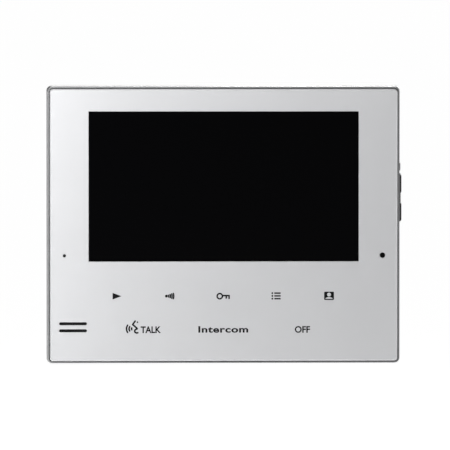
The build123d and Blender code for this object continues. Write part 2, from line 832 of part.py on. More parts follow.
with BuildPart() as light_guides:
    with BuildSketch(layer(touch_front)):
        with Locations(*key_points):
            Circle(guide_r)
    extrude(amount=panel_back - touch_front - fit_gap)
    with BuildSketch(layer(touch_front)):
        with Locations(*key_points):
            Rectangle(led_w + 2 * led_clear, led_w + 2 * led_clear)
    extrude(amount=2 * led_t, mode=Mode.SUBTRACT)
light_guides.part.label = "light_guides"
export_step(light_guides.part, "parts/light_guides.step")

with BuildPart() as touch_pads:
    with BuildSketch(layer(touch_front)):
        with Locations(*key_points):
            Circle(pad_out_r)
            Circle(pad_in_r, mode=Mode.SUBTRACT)
    extrude(amount=panel_back - touch_front - fit_gap)
touch_pads.part.label = "touch_pads"
export_step(touch_pads.part, "parts/touch_pads.step")

key_lights = block_group([(x, z, led_w, led_w, led_t) for x, z in key_points], touch_front, 1)
key_lights.part.label = "key_lights"
export_step(key_lights.part, "parts/key_lights.step")

touch_chip = block_group([touch_chip_box], touch_back, -1)
touch_chip.part.label = "touch_chip"
export_step(touch_chip.part, "parts/touch_chip.step")

touch_screws = small_screws(touch_post_points, touch_back, 1, touch_screw_l)
touch_screws.part.label = "touch_screws"
export_step(touch_screws.part, "parts/touch_screws.step")

# ================================================================ indicator
lens_back = touch_front + lens_room
with BuildPart() as indicator_lens:
    with BuildSketch(layer(lens_back)):
        with Locations((lens_x, lens_z)):
            Circle(lens_r)
    extrude(amount=body_depth + lens_proud - lens_back)
    with BuildSketch(layer(plate_back)):
        with Locations((lens_x, lens_z)):
            Circle(lens_r + lens_flange)
    extrude(amount=plate_t)
    tip = indicator_lens.faces().sort_by(Axis.Y)[0].edges()
    fillet(tip, radius=lens_round)
indicator_lens.part.label = "indicator_lens"
export_step(indicator_lens.part, "parts/indicator_lens.step")

indicator_light = block_group([(lens_x, lens_z, led_w, led_w, led_t)], touch_front, 1)
indicator_light.part.label = "indicator_light"
export_step(indicator_light.part, "parts/indicator_light.step")

# ================================================================ main board
board_mid = (board_low + board_top) / 2
with BuildPart() as main_board:
    with BuildSketch(layer(board_back)):
        with Locations((0, board_mid)):
            RectangleRounded(board_w, board_top - board_low, board_r)
        with Locations(*board_post_points):
            Circle(small_screw_r + run_gap, mode=Mode.SUBTRACT)
        with Locations(*[(x, pin_z) for x in way_xs]):
            Circle(pin_r + fit_gap, mode=Mode.SUBTRACT)
    extrude(amount=board_t)
main_board.part.label = "main_board"
export_step(main_board.part, "parts/main_board.step")

board_screws = small_screws(board_post_points, board_front, -1, board_screw_l)
board_screws.part.label = "board_screws"
export_step(board_screws.part, "parts/board_screws.step")

with BuildPart() as processor_shield:
    with BuildSketch(layer(board_front)):
        with Locations(shield_at):
            RectangleRounded(shield_w, shield_h, shield_r)
    extrude(amount=shield_rise)
    with BuildSketch(layer(board_front)):
        with Locations(shield_at):
            RectangleRounded(shield_w - 2 * shield_t, shield_h - 2 * shield_t, shield_r - shield_t)
    extrude(amount=shield_rise - shield_t, mode=Mode.SUBTRACT)
processor_shield.part.label = "processor_shield"
export_step(processor_shield.part, "parts/processor_shield.step")

processor = block_group([processor_box], board_front, 1)
processor.part.label = "processor"
export_step(processor.part, "parts/processor.step")

memory_chips = block_group(memory_boxes, board_front, 1)
memory_chips.part.label = "memory_chips"
export_step(memory_chips.part, "parts/memory_chips.step")

with BuildPart() as capacitors:
    with BuildSketch(layer(board_back)):
        with Locations(*cap_points):
            Circle(cap_r)
    extrude(amount=-cap_h)
    fillet(capacitors.faces().group_by(Axis.Y)[-1].edges(), radius=cap_round)
capacitors.part.label = "capacitors"
export_step(capacitors.part, "parts/capacitors.step")

inductor = block_group([(*coil_at, coil_w, coil_w, coil_t)], board_back, -1)
inductor.part.label = "inductor"
export_step(inductor.part, "parts/inductor.step")

lead_depth = board_front + lead_rise
side_plug_x = board_w / 2 - plug_edge - plug_l / 2
mic_plug = (-side_plug_x, mic_z)
side_plug = (side_plug_x, side_board_low + plug_w)
display_plug_z = lcd_low + display_plug_rise
plug_boxes = [(x, z, plug_l, plug_w, plug_h) for x, z in (speaker_plug, mic_plug, side_plug)]
plug_boxes.append((0.0, display_plug_z, display_plug_l, plug_w, display_plug_h))
plug_boxes.append((touch_plug_x, touch_plug_z, touch_plug_l, plug_w, touch_plug_h))
board_plugs = block_group(plug_boxes, board_front, 1)
board_plugs.part.label = "board_plugs"
export_step(board_plugs.part, "parts/board_plugs.step")

display_ribbon = ribbon(
    0.0,
    display_ribbon_w,
    [
        (lcd_back + ribbon_exit, lcd_low),
        (lcd_back + ribbon_exit, lcd_low - ribbon_dip),
        (board_front + display_ribbon_rise, lcd_low - ribbon_dip),
        (board_front + display_ribbon_rise, display_plug_z - plug_w / 2 - fit_gap),
    ],
)
display_ribbon.part.label = "display_ribbon"
export_step(display_ribbon.part, "parts/display_ribbon.step")

touch_socket = block_group(
    [(touch_plug_x, lower_row_z, touch_plug_l, plug_w, touch_plug_h)], touch_back, -1
)
touch_socket.part.label = "touch_socket"
export_step(touch_socket.part, "parts/touch_socket.step")

touch_ribbon = ribbon(
    touch_plug_x,
    touch_ribbon_w,
    [
        (touch_back - touch_ribbon_rise, lower_row_z + plug_w / 2 + fit_gap),
        (touch_back - touch_ribbon_rise, lower_row_z + touch_ribbon_run),
        (board_front + touch_ribbon_rise, touch_plug_z - touch_ribbon_run),
        (board_front + touch_ribbon_rise, touch_plug_z - plug_w / 2 - fit_gap),
    ],
)
touch_ribbon.part.label = "touch_ribbon"
export_step(touch_ribbon.part, "parts/touch_ribbon.step")

# ================================================================ terminal block
block_mid = (block_low + block_top) / 2
lever_back = block_rear - lever_proud
lever_front = lever_back + lever_l + lever_proud
with BuildPart() as terminal_block:
    with BuildSketch(layer(block_rear)):
        with Locations((0, block_mid)):
            Rectangle(block_w, block_top - block_low)
    extrude(amount=board_back - block_rear)
    with BuildSketch(layer(block_rear)):
        with Locations(*[(x, lever_z) for x in way_xs]):
            Rectangle(lever_w + 2 * run_gap, lever_h + 2 * run_gap)
    extrude(amount=lever_front + lever_travel + fit_gap - block_rear, mode=Mode.SUBTRACT)
    with BuildSketch(Plane.XY.offset(block_top)):
        with Locations(*[(x, -wire_depth) for x in way_xs]):
            Circle(wire_r)
    extrude(amount=-wire_bore, mode=Mode.SUBTRACT)
    with BuildSketch(layer(board_back)):
        with Locations(*[(x, pin_z) for x in way_xs]):
            Circle(pin_r + thread_gap)
    extrude(amount=-pin_in - fit_gap, mode=Mode.SUBTRACT)
terminal_block.part.label = "terminal_block"
export_step(terminal_block.part, "parts/terminal_block.step")

for number, x in enumerate(way_xs, start=1):
    with BuildPart() as release_lever:
        with BuildSketch(layer(lever_back)):
            with Locations((x, lever_z)):
                Rectangle(lever_w, lever_h)
        extrude(amount=lever_front - lever_back)
        with BuildSketch(layer(lever_back)):
            with Locations((x, lever_z)):
                Rectangle(lever_slit_w, lever_slit_h)
        extrude(amount=lever_slit_deep, mode=Mode.SUBTRACT)
    release_lever.part.label = f"release_lever_{number}"
    export_step(release_lever.part, f"parts/release_lever_{number}.step")

with BuildPart() as terminal_pins:
    with BuildSketch(layer(board_back - pin_in)):
        with Locations(*[(x, pin_z) for x in way_xs]):
            Circle(pin_r)
    extrude(amount=pin_in + board_t + pin_out)
terminal_pins.part.label = "terminal_pins"
export_step(terminal_pins.part, "parts/terminal_pins.step")

# ================================================================ speaker
gasket_back = plate_back - gasket_t
with BuildPart() as slot_cloth:
    with BuildSketch(layer(seat)):
        with Locations((slot_x, slot_z)):
            Rectangle(slot_l + 2 * cloth_over, slot_pitch + slot_h + 2 * cloth_over)
    extrude(amount=tape_t)
slot_cloth.part.label = "slot_cloth"
export_step(slot_cloth.part, "parts/slot_cloth.step")

with BuildPart() as speaker_gasket:
    with BuildSketch(layer(gasket_back)):
        with Locations((speaker_x, slot_z)):
            Circle(speaker_r)
            Circle(speaker_r - gasket_w, mode=Mode.SUBTRACT)
    extrude(amount=gasket_t)
speaker_gasket.part.label = "speaker_gasket"
export_step(speaker_gasket.part, "parts/speaker_gasket.step")

speaker_back = gasket_back - speaker_t
magnet_front = speaker_back + magnet_t
basket_h = speaker_t - magnet_t
tab_x = speaker_x + magnet_r + tab_w / 2 - tab_in
speaker_axis = Plane(origin=(speaker_x, -gasket_back, slot_z), x_dir=(1, 0, 0), z_dir=(0, 0, 1))
with BuildPart() as speaker_basket:
    with BuildSketch(speaker_axis):
        with BuildLine():
            Polyline(
                (0, basket_h),
                (magnet_r - 1, basket_h),
                (speaker_r - 1, basket_rim_t),
                (speaker_r, basket_rim_t),
                (speaker_r, 0),
                (speaker_r - basket_rim_w, 0),
                (speaker_r - basket_rim_w, basket_t),
                (magnet_r - 1, basket_h - basket_t),
                (0, basket_h - basket_t),
                close=True,
            )
        make_face()
    revolve(axis=Axis((speaker_x, 0, slot_z), (0, 1, 0)))
    with BuildSketch(layer(magnet_front)):
        with Locations((tab_x, slot_z)):
            Rectangle(tab_w, tab_h)
    extrude(amount=basket_t)
speaker_basket.part.label = "speaker_basket"
export_step(speaker_basket.part, "parts/speaker_basket.step")

with BuildPart() as speaker_magnet:
    with BuildSketch(layer(speaker_back)):
        with Locations((speaker_x, slot_z)):
            Circle(magnet_r)
    extrude(amount=magnet_t)
    fillet(speaker_magnet.faces().sort_by(Axis.Y)[-1].edges(), radius=magnet_round)
speaker_magnet.part.label = "speaker_magnet"
export_step(speaker_magnet.part, "parts/speaker_magnet.step")

cone_r = speaker_r - basket_rim_w - cone_gap
dome_r = magnet_r - 3
with BuildPart() as speaker_cone:
    with BuildSketch(speaker_axis):
        with BuildLine():
            Polyline(
                (0, cone_room),
                (dome_r, cone_room),
                (cone_r, cone_t),
                (cone_r, 0.0),
                (dome_r, cone_room - cone_t),
                (0, cone_room - cone_t),
                close=True,
            )
        make_face()
    revolve(axis=Axis((speaker_x, 0, slot_z), (0, 1, 0)))
speaker_cone.part.label = "speaker_cone"
export_step(speaker_cone.part, "parts/speaker_cone.step")

# ================================================================ microphone
boot_back = plate_back - boot_t
with BuildPart() as microphone_boot:
    with BuildSketch(layer(boot_back)):
        with Locations((mic_x, mic_z)):
            Circle(boot_r)
    extrude(amount=boot_t)
    with BuildSketch(layer(boot_back)):
        with Locations((mic_x, mic_z)):
            Circle(capsule_r)
    extrude(amount=capsule_sunk + capsule_t + fit_gap, mode=Mode.SUBTRACT)
    with BuildSketch(layer(boot_back)):
        with Locations((mic_x, mic_z)):
            Circle(mic_r)
    extrude(amount=boot_t, mode=Mode.SUBTRACT)
microphone_boot.part.label = "microphone_boot"
export_step(microphone_boot.part, "parts/microphone_boot.step")

with BuildPart() as microphone:
    with BuildSketch(layer(boot_back + capsule_sunk)):
        with Locations((mic_x, mic_z)):
            Circle(capsule_r - thread_gap)
    extrude(amount=capsule_t)
microphone.part.label = "microphone"
export_step(microphone.part, "parts/microphone.step")

# ================================================================ side keys
with BuildPart() as side_key_carrier:
    with BuildSketch(side(carrier_in)):
        with Locations((-side_depth, carrier_mid)):
            RectangleRounded(carrier_d, carrier_h, carrier_r)
    extrude(amount=carrier_wall + shell + carrier_proud)
    outer_rim = side_key_carrier.faces().sort_by(Axis.X)[-1].edges()
    fillet(outer_rim, radius=carrier_round)
    with BuildSketch(side(carrier_in)):
        with Locations((-side_depth, carrier_mid)):
            Rectangle(carrier_d + 2 * carrier_flange, carrier_h + 2 * carrier_flange)
    extrude(amount=carrier_wall)
    with BuildSketch(side(carrier_in)):
        with Locations(*side_key_points):
            RectangleRounded(key_d + 2 * run_gap, key_h + 2 * run_gap, key_r + run_gap)
    extrude(amount=carrier_wall + shell + carrier_proud, mode=Mode.SUBTRACT)
side_key_carrier.part.label = "side_key_carrier"
export_step(side_key_carrier.part, "parts/side_key_carrier.step")

for key_name, key_z in (("volume_up_key", key_top_z), ("volume_down_key", key_low_z)):
    with BuildPart() as side_key:
        with BuildSketch(side(flange_x)):
            with Locations((-side_depth, key_z)):
                RectangleRounded(key_d, key_h, key_r)
        extrude(amount=key_face_x - flange_x)
        fillet(side_key.faces().sort_by(Axis.X)[-1].edges(), radius=key_round)
        with BuildSketch(side(key_face_x - key_mark_deep)):
            with Locations((-side_depth, key_z)):
                Rectangle(key_mark_l, key_mark_w)
                if key_name == "volume_up_key":
                    Rectangle(key_mark_w, key_mark_l)
        extrude(amount=key_mark_deep, mode=Mode.SUBTRACT)
        with BuildSketch(side(flange_x)):
            with Locations((-side_depth, key_z)):
                Rectangle(key_d + key_flange, key_h + 2 * key_flange)
        extrude(amount=key_flange_t)
        with BuildSketch(side(flange_x)):
            with Locations((-side_depth, key_z)):
                Circle(key_post_r)
        extrude(amount=-key_post_l)
    side_key.part.label = key_name
    export_step(side_key.part, f"parts/{key_name}.step")

with BuildPart() as side_board:
    with BuildSketch(side(board_face_x - side_board_t)):
        with Locations((-side_depth, (side_board_low + side_board_top) / 2)):
            Rectangle(side_board_d, side_board_top - side_board_low)
    extrude(amount=side_board_t)
side_board.part.label = "side_board"
export_step(side_board.part, "parts/side_board.step")

with BuildPart() as tact_switches:
    with BuildSketch(side(board_face_x)):
        with Locations(*side_key_points):
            Rectangle(tact_w, tact_h)
    extrude(amount=tact_t)
    with BuildSketch(side(board_face_x)):
        with Locations(*side_key_points):
            Circle(plunger_r)
    extrude(amount=tact_t + plunger_t)
tact_switches.part.label = "tact_switches"
export_step(tact_switches.part, "parts/tact_switches.step")

with BuildPart() as switch_body:
    with BuildSketch(side(board_face_x)):
        with Locations((-side_depth, knob_mid)):
            Rectangle(knob_d + 2 * run_gap + 2 * switch_wall, knob_room + 2 * switch_wall)
    extrude(amount=switch_t)
    with BuildSketch(side(board_face_x + switch_floor)):
        with Locations((-side_depth, knob_mid)):
            Rectangle(knob_d + 2 * run_gap, knob_room)
    extrude(amount=switch_t - switch_floor, mode=Mode.SUBTRACT)
switch_body.part.label = "switch_body"
export_step(switch_body.part, "parts/switch_body.step")

with BuildPart() as switch_knob:
    with BuildSketch(side(knob_in_x)):
        with Locations((-side_depth, knob_z)):
            SlotOverall(knob_l, knob_d, rotation=90)
    extrude(amount=body_w / 2 + knob_proud - knob_in_x)
    fillet(switch_knob.faces().sort_by(Axis.X)[-1].edges(), radius=knob_round)
switch_knob.part.label = "switch_knob"
export_step(switch_knob.part, "parts/switch_knob.step")

with BuildPart() as side_socket:
    with BuildSketch(side(side_socket_x)):
        with Locations((-side_depth, side_plug[1])):
            Rectangle(side_socket_w, side_socket_w)
    extrude(amount=side_socket_t)
side_socket.part.label = "side_socket"
export_step(side_socket.part, "parts/side_socket.step")

# ================================================================ leads
lead_x = tab_x + tab_w / 2 - 2 * lead_r
speaker_lead = lead(
    [
        (lead_x, magnet_front, slot_z),
        (lead_x, lead_depth, slot_z),
        (speaker_plug[0], lead_depth, slot_z),
        (speaker_plug[0], lead_depth, speaker_plug[1] - plug_w / 2),
    ]
)
speaker_lead.part.label = "speaker_lead"
export_step(speaker_lead.part, "parts/speaker_lead.step")

microphone_lead = lead(
    [
        (mic_x, boot_back + capsule_sunk, mic_z),
        (mic_x, lead_depth, mic_z),
        (mic_plug[0] - plug_l / 2, lead_depth, mic_z),
    ]
)
microphone_lead.part.label = "microphone_lead"
export_step(microphone_lead.part, "parts/microphone_lead.step")

side_lead = lead(
    [
        (side_socket_x + side_socket_t / 2, side_depth - side_socket_w / 2, side_plug[1]),
        (side_socket_x + side_socket_t / 2, lead_depth, side_plug[1]),
        (side_plug[0] + plug_l / 2, lead_depth, side_plug[1]),
    ]
)
side_lead.part.label = "side_lead"
export_step(side_lead.part, "parts/side_lead.step")

# ================================================================ case screws
case_screws = screw_group(
    case_screw_points, counterbore_end, 1, screw_r, screw_head_r, screw_head_t, case_screw_l
)
case_screws.part.label = "case_screws"
export_step(case_screws.part, "parts/case_screws.step")
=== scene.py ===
"""Looks for a wall-hung video intercom monitor: finishes, printed marks, small board parts and the studio."""

import logging
import math
from dataclasses import dataclass, field
from enum import Enum
from typing import Callable, Iterable, Sequence

import bmesh
import bpy
import numpy as np
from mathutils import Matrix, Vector


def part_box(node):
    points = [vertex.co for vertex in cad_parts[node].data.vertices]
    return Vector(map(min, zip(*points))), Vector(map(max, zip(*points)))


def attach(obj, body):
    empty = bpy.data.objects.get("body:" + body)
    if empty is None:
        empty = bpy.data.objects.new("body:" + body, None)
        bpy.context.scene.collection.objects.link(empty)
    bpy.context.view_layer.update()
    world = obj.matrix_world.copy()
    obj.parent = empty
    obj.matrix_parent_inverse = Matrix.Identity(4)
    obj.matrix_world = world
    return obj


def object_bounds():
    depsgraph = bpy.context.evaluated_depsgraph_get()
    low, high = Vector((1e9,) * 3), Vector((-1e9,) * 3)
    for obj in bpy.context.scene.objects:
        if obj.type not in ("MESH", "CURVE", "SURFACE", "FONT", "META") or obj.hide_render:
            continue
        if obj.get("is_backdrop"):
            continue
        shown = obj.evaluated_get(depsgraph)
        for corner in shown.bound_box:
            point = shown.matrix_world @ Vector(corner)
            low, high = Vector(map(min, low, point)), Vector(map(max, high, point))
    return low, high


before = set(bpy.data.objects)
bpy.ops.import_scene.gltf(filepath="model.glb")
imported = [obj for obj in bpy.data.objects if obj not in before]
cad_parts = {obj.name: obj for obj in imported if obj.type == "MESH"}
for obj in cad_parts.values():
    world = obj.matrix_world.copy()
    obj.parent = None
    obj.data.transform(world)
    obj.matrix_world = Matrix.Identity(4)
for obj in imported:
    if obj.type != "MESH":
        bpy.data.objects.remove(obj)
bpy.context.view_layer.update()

LOG = logging.getLogger("monitor_looks")
MM = 0.001
Triple = tuple[float, float, float]
Colour = Triple
Spot = tuple[float, float]
Patch = tuple[np.ndarray, np.ndarray]


# ------------------------------------------------------------------ shader maths
class Value:
    """A number socket that can be used in arithmetic. Each operation adds one Math node."""

    def __init__(self, graph: "Graph", socket: bpy.types.NodeSocket) -> None:
        """Wrap a socket of a graph.

        Args:
            graph: the graph that the socket belongs to.
            socket: an output socket that carries a number.
        """
        self.graph = graph
        self.socket = socket

    def math(self, operation: str, *others: "Value | float", swap: bool = False) -> "Value":
        """Apply a Math node to this value and others.

        Args:
            operation: the Math node's operation.
            others: the other operands.
            swap: put the first other operand before this one.

        Returns:
            The result.
        """
        operands = [self, *others]
        if swap:
            operands[0], operands[1] = operands[1], operands[0]
        node = self.graph.node("ShaderNodeMath", {"operation": operation}, dict(enumerate(operands)))
        return Value(self.graph, node.outputs[0])

    def __add__(self, other: "Value | float") -> "Value":
        """Sum."""
        return self.math("ADD", other)

    __radd__ = __add__

    def __sub__(self, other: "Value | float") -> "Value":
        """Difference."""
        return self.math("SUBTRACT", other)

    def __rsub__(self, other: float) -> "Value":
        """Difference from a number."""
        return self.math("SUBTRACT", other, swap=True)

    def __mul__(self, other: "Value | float") -> "Value":
        """Product."""
        return self.math("MULTIPLY", other)

    __rmul__ = __mul__

    def wave(self) -> "Value":
        """Sine of the value."""
        return self.math("SINE")

    def above(self, low: float, high: float) -> "Value":
        """Rise smoothly from 0 at low to 1 at high, or fall where low is the larger."""
        inputs = {"Value": self, "From Min": low, "From Max": high}
        node = self.graph.node("ShaderNodeMapRange", {"interpolation_type": "SMOOTHSTEP"}, inputs)
        return Value(self.graph, node.outputs["Result"])


class Graph:
    """One material's node tree, with a short way to add any node."""

    def __init__(self, name: str) -> None:
        """Start an empty node material.

        Args:
            name: the material's name.
        """
        self.material = bpy.data.materials.new(name)
        self.material.use_nodes = True
        self.tree = self.material.node_tree
        self.tree.nodes.clear()

    def node(self, kind: str, settings: dict | None = None, inputs: dict | None = None) -> bpy.types.Node:
        """Add a node, set its options and then feed its sockets.

        Args:
            kind: the node's type.
            settings: option names and values, which are set first.
            inputs: socket names or numbers, with a Value, a socket or a constant for each.

        Returns:
            The new node.
        """
        node = self.tree.nodes.new(kind)
        for key, value in (settings or {}).items():
            setattr(node, key, value)
        for key, value in (inputs or {}).items():
            target = node.inputs[key]
            source = value.socket if isinstance(value, Value) else value
            if isinstance(source, bpy.types.NodeSocket):
                self.tree.links.new(source, target)
            else:
                target.default_value = source
        return node

    def place(self, scale: Triple = (1.0, 1.0, 1.0), turn: Triple = (0.0, 0.0, 0.0)) -> bpy.types.NodeSocket:
        """Object coordinates in metres, turned and then scaled.

        Args:
            scale: the factor along each axis.
            turn: the turn about each axis, in radians.

        Returns:
            The vector socket.
        """
        source = self.node("ShaderNodeTexCoord").outputs["Object"]
        inputs = {"Vector": source, "Rotation": turn, "Scale": scale}
        return self.node("ShaderNodeMapping", None, inputs).outputs["Vector"]

    def axis(self, index: int) -> Value:
        """One object coordinate, in metres: 0 for X, 1 for Y and 2 for Z."""
        split = self.node("ShaderNodeSeparateXYZ", None, {"Vector": self.place()})
        return Value(self, split.outputs[index])

    def noise(self, vector: bpy.types.NodeSocket, scale: float, detail: float = 3.0) -> Value:
        """Cloudy noise from 0 to 1 with about the given number of lumps per metre."""
        inputs = {"Vector": vector, "Scale": scale, "Detail": detail}
        return Value(self, self.node("ShaderNodeTexNoise", None, inputs).outputs[0])

    def cells(self, vector: bpy.types.NodeSocket, scale: float, feature: str = "F1") -> Value:
        """Distance within cells, or to their edges with the feature DISTANCE_TO_EDGE."""
        node = self.node("ShaderNodeTexVoronoi", {"feature": feature}, {"Vector": vector, "Scale": scale})
        return Value(self, node.outputs["Distance"])

    def cell_tone(self, vector: bpy.types.NodeSocket, scale: float) -> Value:
        """A different number from 0 to 1 for each cell."""
        node = self.node("ShaderNodeTexVoronoi", {"feature": "F1"}, {"Vector": vector, "Scale": scale})
        split = self.node("ShaderNodeSeparateColor", None, {0: node.outputs["Color"]})
        return Value(self, split.outputs[0])

    def tint(self, share: Value, low: Colour, high: Colour) -> bpy.types.NodeSocket:
        """Blend two colours.

        Args:
            share: 0 for the low colour and 1 for the high one.
            low: the first colour.
            high: the second colour.

        Returns:
            The colour socket.
        """
        settings = {"data_type": "RGBA"}
        node = self.node("ShaderNodeMix", settings, {0: share, 6: (*low, 1.0), 7: (*high, 1.0)})
        return node.outputs[2]

    def layer(self, share: Value, below: bpy.types.NodeSocket, above: Colour) -> bpy.types.NodeSocket:
        """Lay a colour over a colour socket where share is 1."""
        node = self.node("ShaderNodeMix", {"data_type": "RGBA"}, {0: share, 6: below, 7: (*above, 1.0)})
        return node.outputs[2]

    def bump(self, height: Value, depth: float) -> bpy.types.NodeSocket:
        """A bump of the given depth in metres."""
        inputs = {"Height": height, "Distance": depth, "Strength": 1.0}
        return self.node("ShaderNodeBump", None, inputs).outputs[0]

    def surface(self, **sockets: object) -> bpy.types.Material:
        """Close the graph with a principled surface.

        Args:
            sockets: the surface's inputs by name, with _ for a space.

        Returns:
            The finished material.
        """
        inputs = {name.replace("_", " "): value for name, value in sockets.items()}
        shader = self.node("ShaderNodeBsdfPrincipled", None, inputs)
        self.node("ShaderNodeOutputMaterial", None, {"Surface": shader.outputs[0]})
        return self.material


def shade(colour: Colour, factor: float) -> Colour:
    """A colour made lighter or darker by a factor."""
    return tuple(min(1.0, part * factor) for part in colour)


# ------------------------------------------------------------------ finishes
@dataclass(frozen=True)
class Finish:
    """A named surface finish. Each kind builds its own node material."""

    name: str
    colour: Colour

    def build(self) -> bpy.types.Material:
        """Make the material."""
        raise NotImplementedError


@dataclass(frozen=True)
class SatinSilver(Finish):
    """Satin silver sheet with a faint upright grain and a soft cloudiness.

    Grain is noise that is squeezed across X and stretched along Z, so it reads as very fine upright lines.
    """

    rough: float = 0.4
    grain_across: float = 5200.0
    grain_along: float = 60.0
    cloud_size: float = 22.0
    speck_size: float = 2600.0
    contrast: float = 0.035
    grain_rough: float = 0.06
    cloud_rough: float = 0.05
    depth: float = 1.2e-6

    def build(self) -> bpy.types.Material:
        """Make the material."""
        graph = Graph(self.name)
        lines = graph.noise(graph.place((self.grain_across, self.grain_across, self.grain_along)), 1.0, 2.0)
        cloud = graph.noise(graph.place(), self.cloud_size, 4.0)
        speck = graph.noise(graph.place(), self.speck_size, 1.0)
        tone = lines * 0.45 + cloud * 0.35 + speck * 0.2
        dark, light = shade(self.colour, 1 - self.contrast), shade(self.colour, 1 + self.contrast)
        return graph.surface(
            Base_Color=graph.tint(tone, dark, light),
            Metallic=1.0,
            Roughness=self.rough + (lines - 0.5) * self.grain_rough + (cloud - 0.5) * self.cloud_rough,
            Normal=graph.bump(lines + speck * 0.6, self.depth),
        )


@dataclass(frozen=True)
class MouldedPlastic(Finish):
    """Moulded plastic with a fine spark-eroded texture and faint flow marks."""

    rough: float = 0.45
    pit: float = 1800.0
    depth: float = 8e-6
    gloss: float = 0.5
    metal: float = 0.0
    flow_size: float = 18.0
    flow_pull: float = 2.5
    contrast: float = 0.07
    pit_rough: float = 0.12
    flow_rough: float = 0.08

    def build(self) -> bpy.types.Material:
        """Make the material."""
        graph = Graph(self.name)
        pits = graph.noise(graph.place(), self.pit, 3.0)
        flow = graph.noise(graph.place((1.0, 1.0, self.flow_pull)), self.flow_size, 3.0)
        dark, light = shade(self.colour, 1 - self.contrast), shade(self.colour, 1 + self.contrast)
        return graph.surface(
            Base_Color=graph.tint(pits * 0.4 + flow * 0.6, dark, light),
            Metallic=self.metal,
            Roughness=self.rough + (pits - 0.5) * self.pit_rough + (flow - 0.5) * self.flow_rough,
            Specular_IOR_Level=self.gloss,
            Normal=graph.bump(pits, self.depth),
        )


@dataclass(frozen=True)
class BlackWindow(Finish):
    """Clear pane printed black behind, lightly dusty, with a coating that hardly mirrors the room."""

    rough: float = 0.12
    gloss: float = 0.03
    film_size: float = 30.0
    film_rough: float = 0.08
    dust_size: float = 900.0
    dust_rough: float = 0.1

    def build(self) -> bpy.types.Material:
        """Make the material."""
        graph = Graph(self.name)
        film = graph.noise(graph.place(), self.film_size, 4.0)
        dust = graph.noise(graph.place(), self.dust_size, 2.0).above(0.62, 0.8)
        return graph.surface(
            Base_Color=graph.tint(film, shade(self.colour, 0.8), shade(self.colour, 1.25)),
            Roughness=self.rough + film * self.film_rough + dust * self.dust_rough,
            Specular_IOR_Level=self.gloss,
        )


@dataclass(frozen=True)
class PlatedSteel(Finish):
    """Zinc-plated or tinned sheet: faint crystal patches, fine rolling lines and a few handling scratches."""

    rough: float = 0.34
    patch: float = 260.0
    rolling: Triple = (3000.0, 3000.0, 90.0)
    scratching: Triple = (40.0, 40.0, 2200.0)
    scratch_turn: float = 0.6
    depth: float = 2.5e-6

    def build(self) -> bpy.types.Material:
        """Make the material."""
        graph = Graph(self.name)
        patches = graph.cell_tone(graph.place(), self.patch)
        lines = graph.noise(graph.place(self.rolling), 1.0, 2.0)
        slant = graph.place(self.scratching, (0.0, self.scratch_turn, 0.0))
        scratch = graph.noise(slant, 1.0, 2.0).above(0.68, 0.74)
        tone = patches * 0.4 + lines * 0.4 + graph.noise(graph.place(), 35.0) * 0.2
        return graph.surface(
            Base_Color=graph.tint(tone, shade(self.colour, 0.88), shade(self.colour, 1.08)),
            Metallic=1.0,
            Roughness=self.rough + (patches - 0.5) * 0.1 + (lines - 0.5) * 0.12 - scratch * 0.1,
            Normal=graph.bump(lines - scratch * 0.8, self.depth),
        )


@dataclass(frozen=True)
class CircuitBoard(Finish):
    """Solder mask over copper: raised tracks along cell edges, tinned vias and a glass weave below."""

    copper: Colour = (0.05, 0.34, 0.13)
    tin: Colour = (0.62, 0.60, 0.52)
    track: float = 190.0
    track_turn: float = 0.785
    via: float = 420.0
    thread: float = 9000.0
    rough: float = 0.32
    depth: float = 1.5e-5

    def build(self) -> bpy.types.Material:
        """Make the material."""
        graph = Graph(self.name)
        turned = graph.place((1.0, 1.0, 1.0), (0.0, self.track_turn, 0.0))
        tracks = graph.cells(turned, self.track, "DISTANCE_TO_EDGE").above(0.10, 0.06)
        vias = graph.cells(graph.place(), self.via).above(0.16, 0.12)
        rings = graph.cells(graph.place(), self.via).above(0.24, 0.2)
        weave = (graph.axis(0) * self.thread).wave() * (graph.axis(2) * self.thread).wave()
        mask = graph.tint(weave * 0.5 + 0.5, shade(self.colour, 0.85), shade(self.colour, 1.15))
        over = graph.layer(tracks * 0.8, mask, self.copper)
        return graph.surface(
            Base_Color=graph.layer(rings * 0.9, over, self.tin),
            Metallic=rings * 0.8,
            Roughness=self.rough + weave * 0.03 - tracks * 0.06 + vias * 0.2,
            Normal=graph.bump(tracks + rings - vias * 1.5 + weave * 0.05, self.depth),
        )


@dataclass(frozen=True)
class Woven(Finish):
    """Fine plain-woven cloth: two crossed sines, one thread over and one under."""

    thread: float = 12000.0
    fuzz_size: float = 4000.0
    rough: float = 0.85
    depth: float = 4e-5

    def build(self) -> bpy.types.Material:
        """Make the material."""
        graph = Graph(self.name)
        weave = (graph.axis(0) * self.thread).wave() * (graph.axis(2) * self.thread).wave()
        fuzz = graph.noise(graph.place(), self.fuzz_size, 2.0)
        return graph.surface(
            Base_Color=graph.tint(weave * 0.4 + 0.5, shade(self.colour, 0.6), shade(self.colour, 1.5)),
            Roughness=self.rough + fuzz * 0.1,
            Normal=graph.bump(weave + fuzz * 0.5, self.depth),
        )


@dataclass(frozen=True)
class RibbonFilm(Finish):
    """Film cable with fine conductors seen through it as lighter stripes across X."""

    pitch: float = 0.5 * MM
    stripe: Colour = (0.72, 0.42, 0.12)
    rough: float = 0.25
    depth: float = 1e-5

    def build(self) -> bpy.types.Material:
        """Make the material."""
        graph = Graph(self.name)
        wires = (graph.axis(0) * (2 * math.pi / self.pitch)).wave().above(-0.1, 0.3)
        return graph.surface(
            Base_Color=graph.tint(wires, self.colour, self.stripe),
            Roughness=self.rough + graph.noise(graph.place(), 200.0) * 0.15,
            Normal=graph.bump(wires, self.depth),
        )


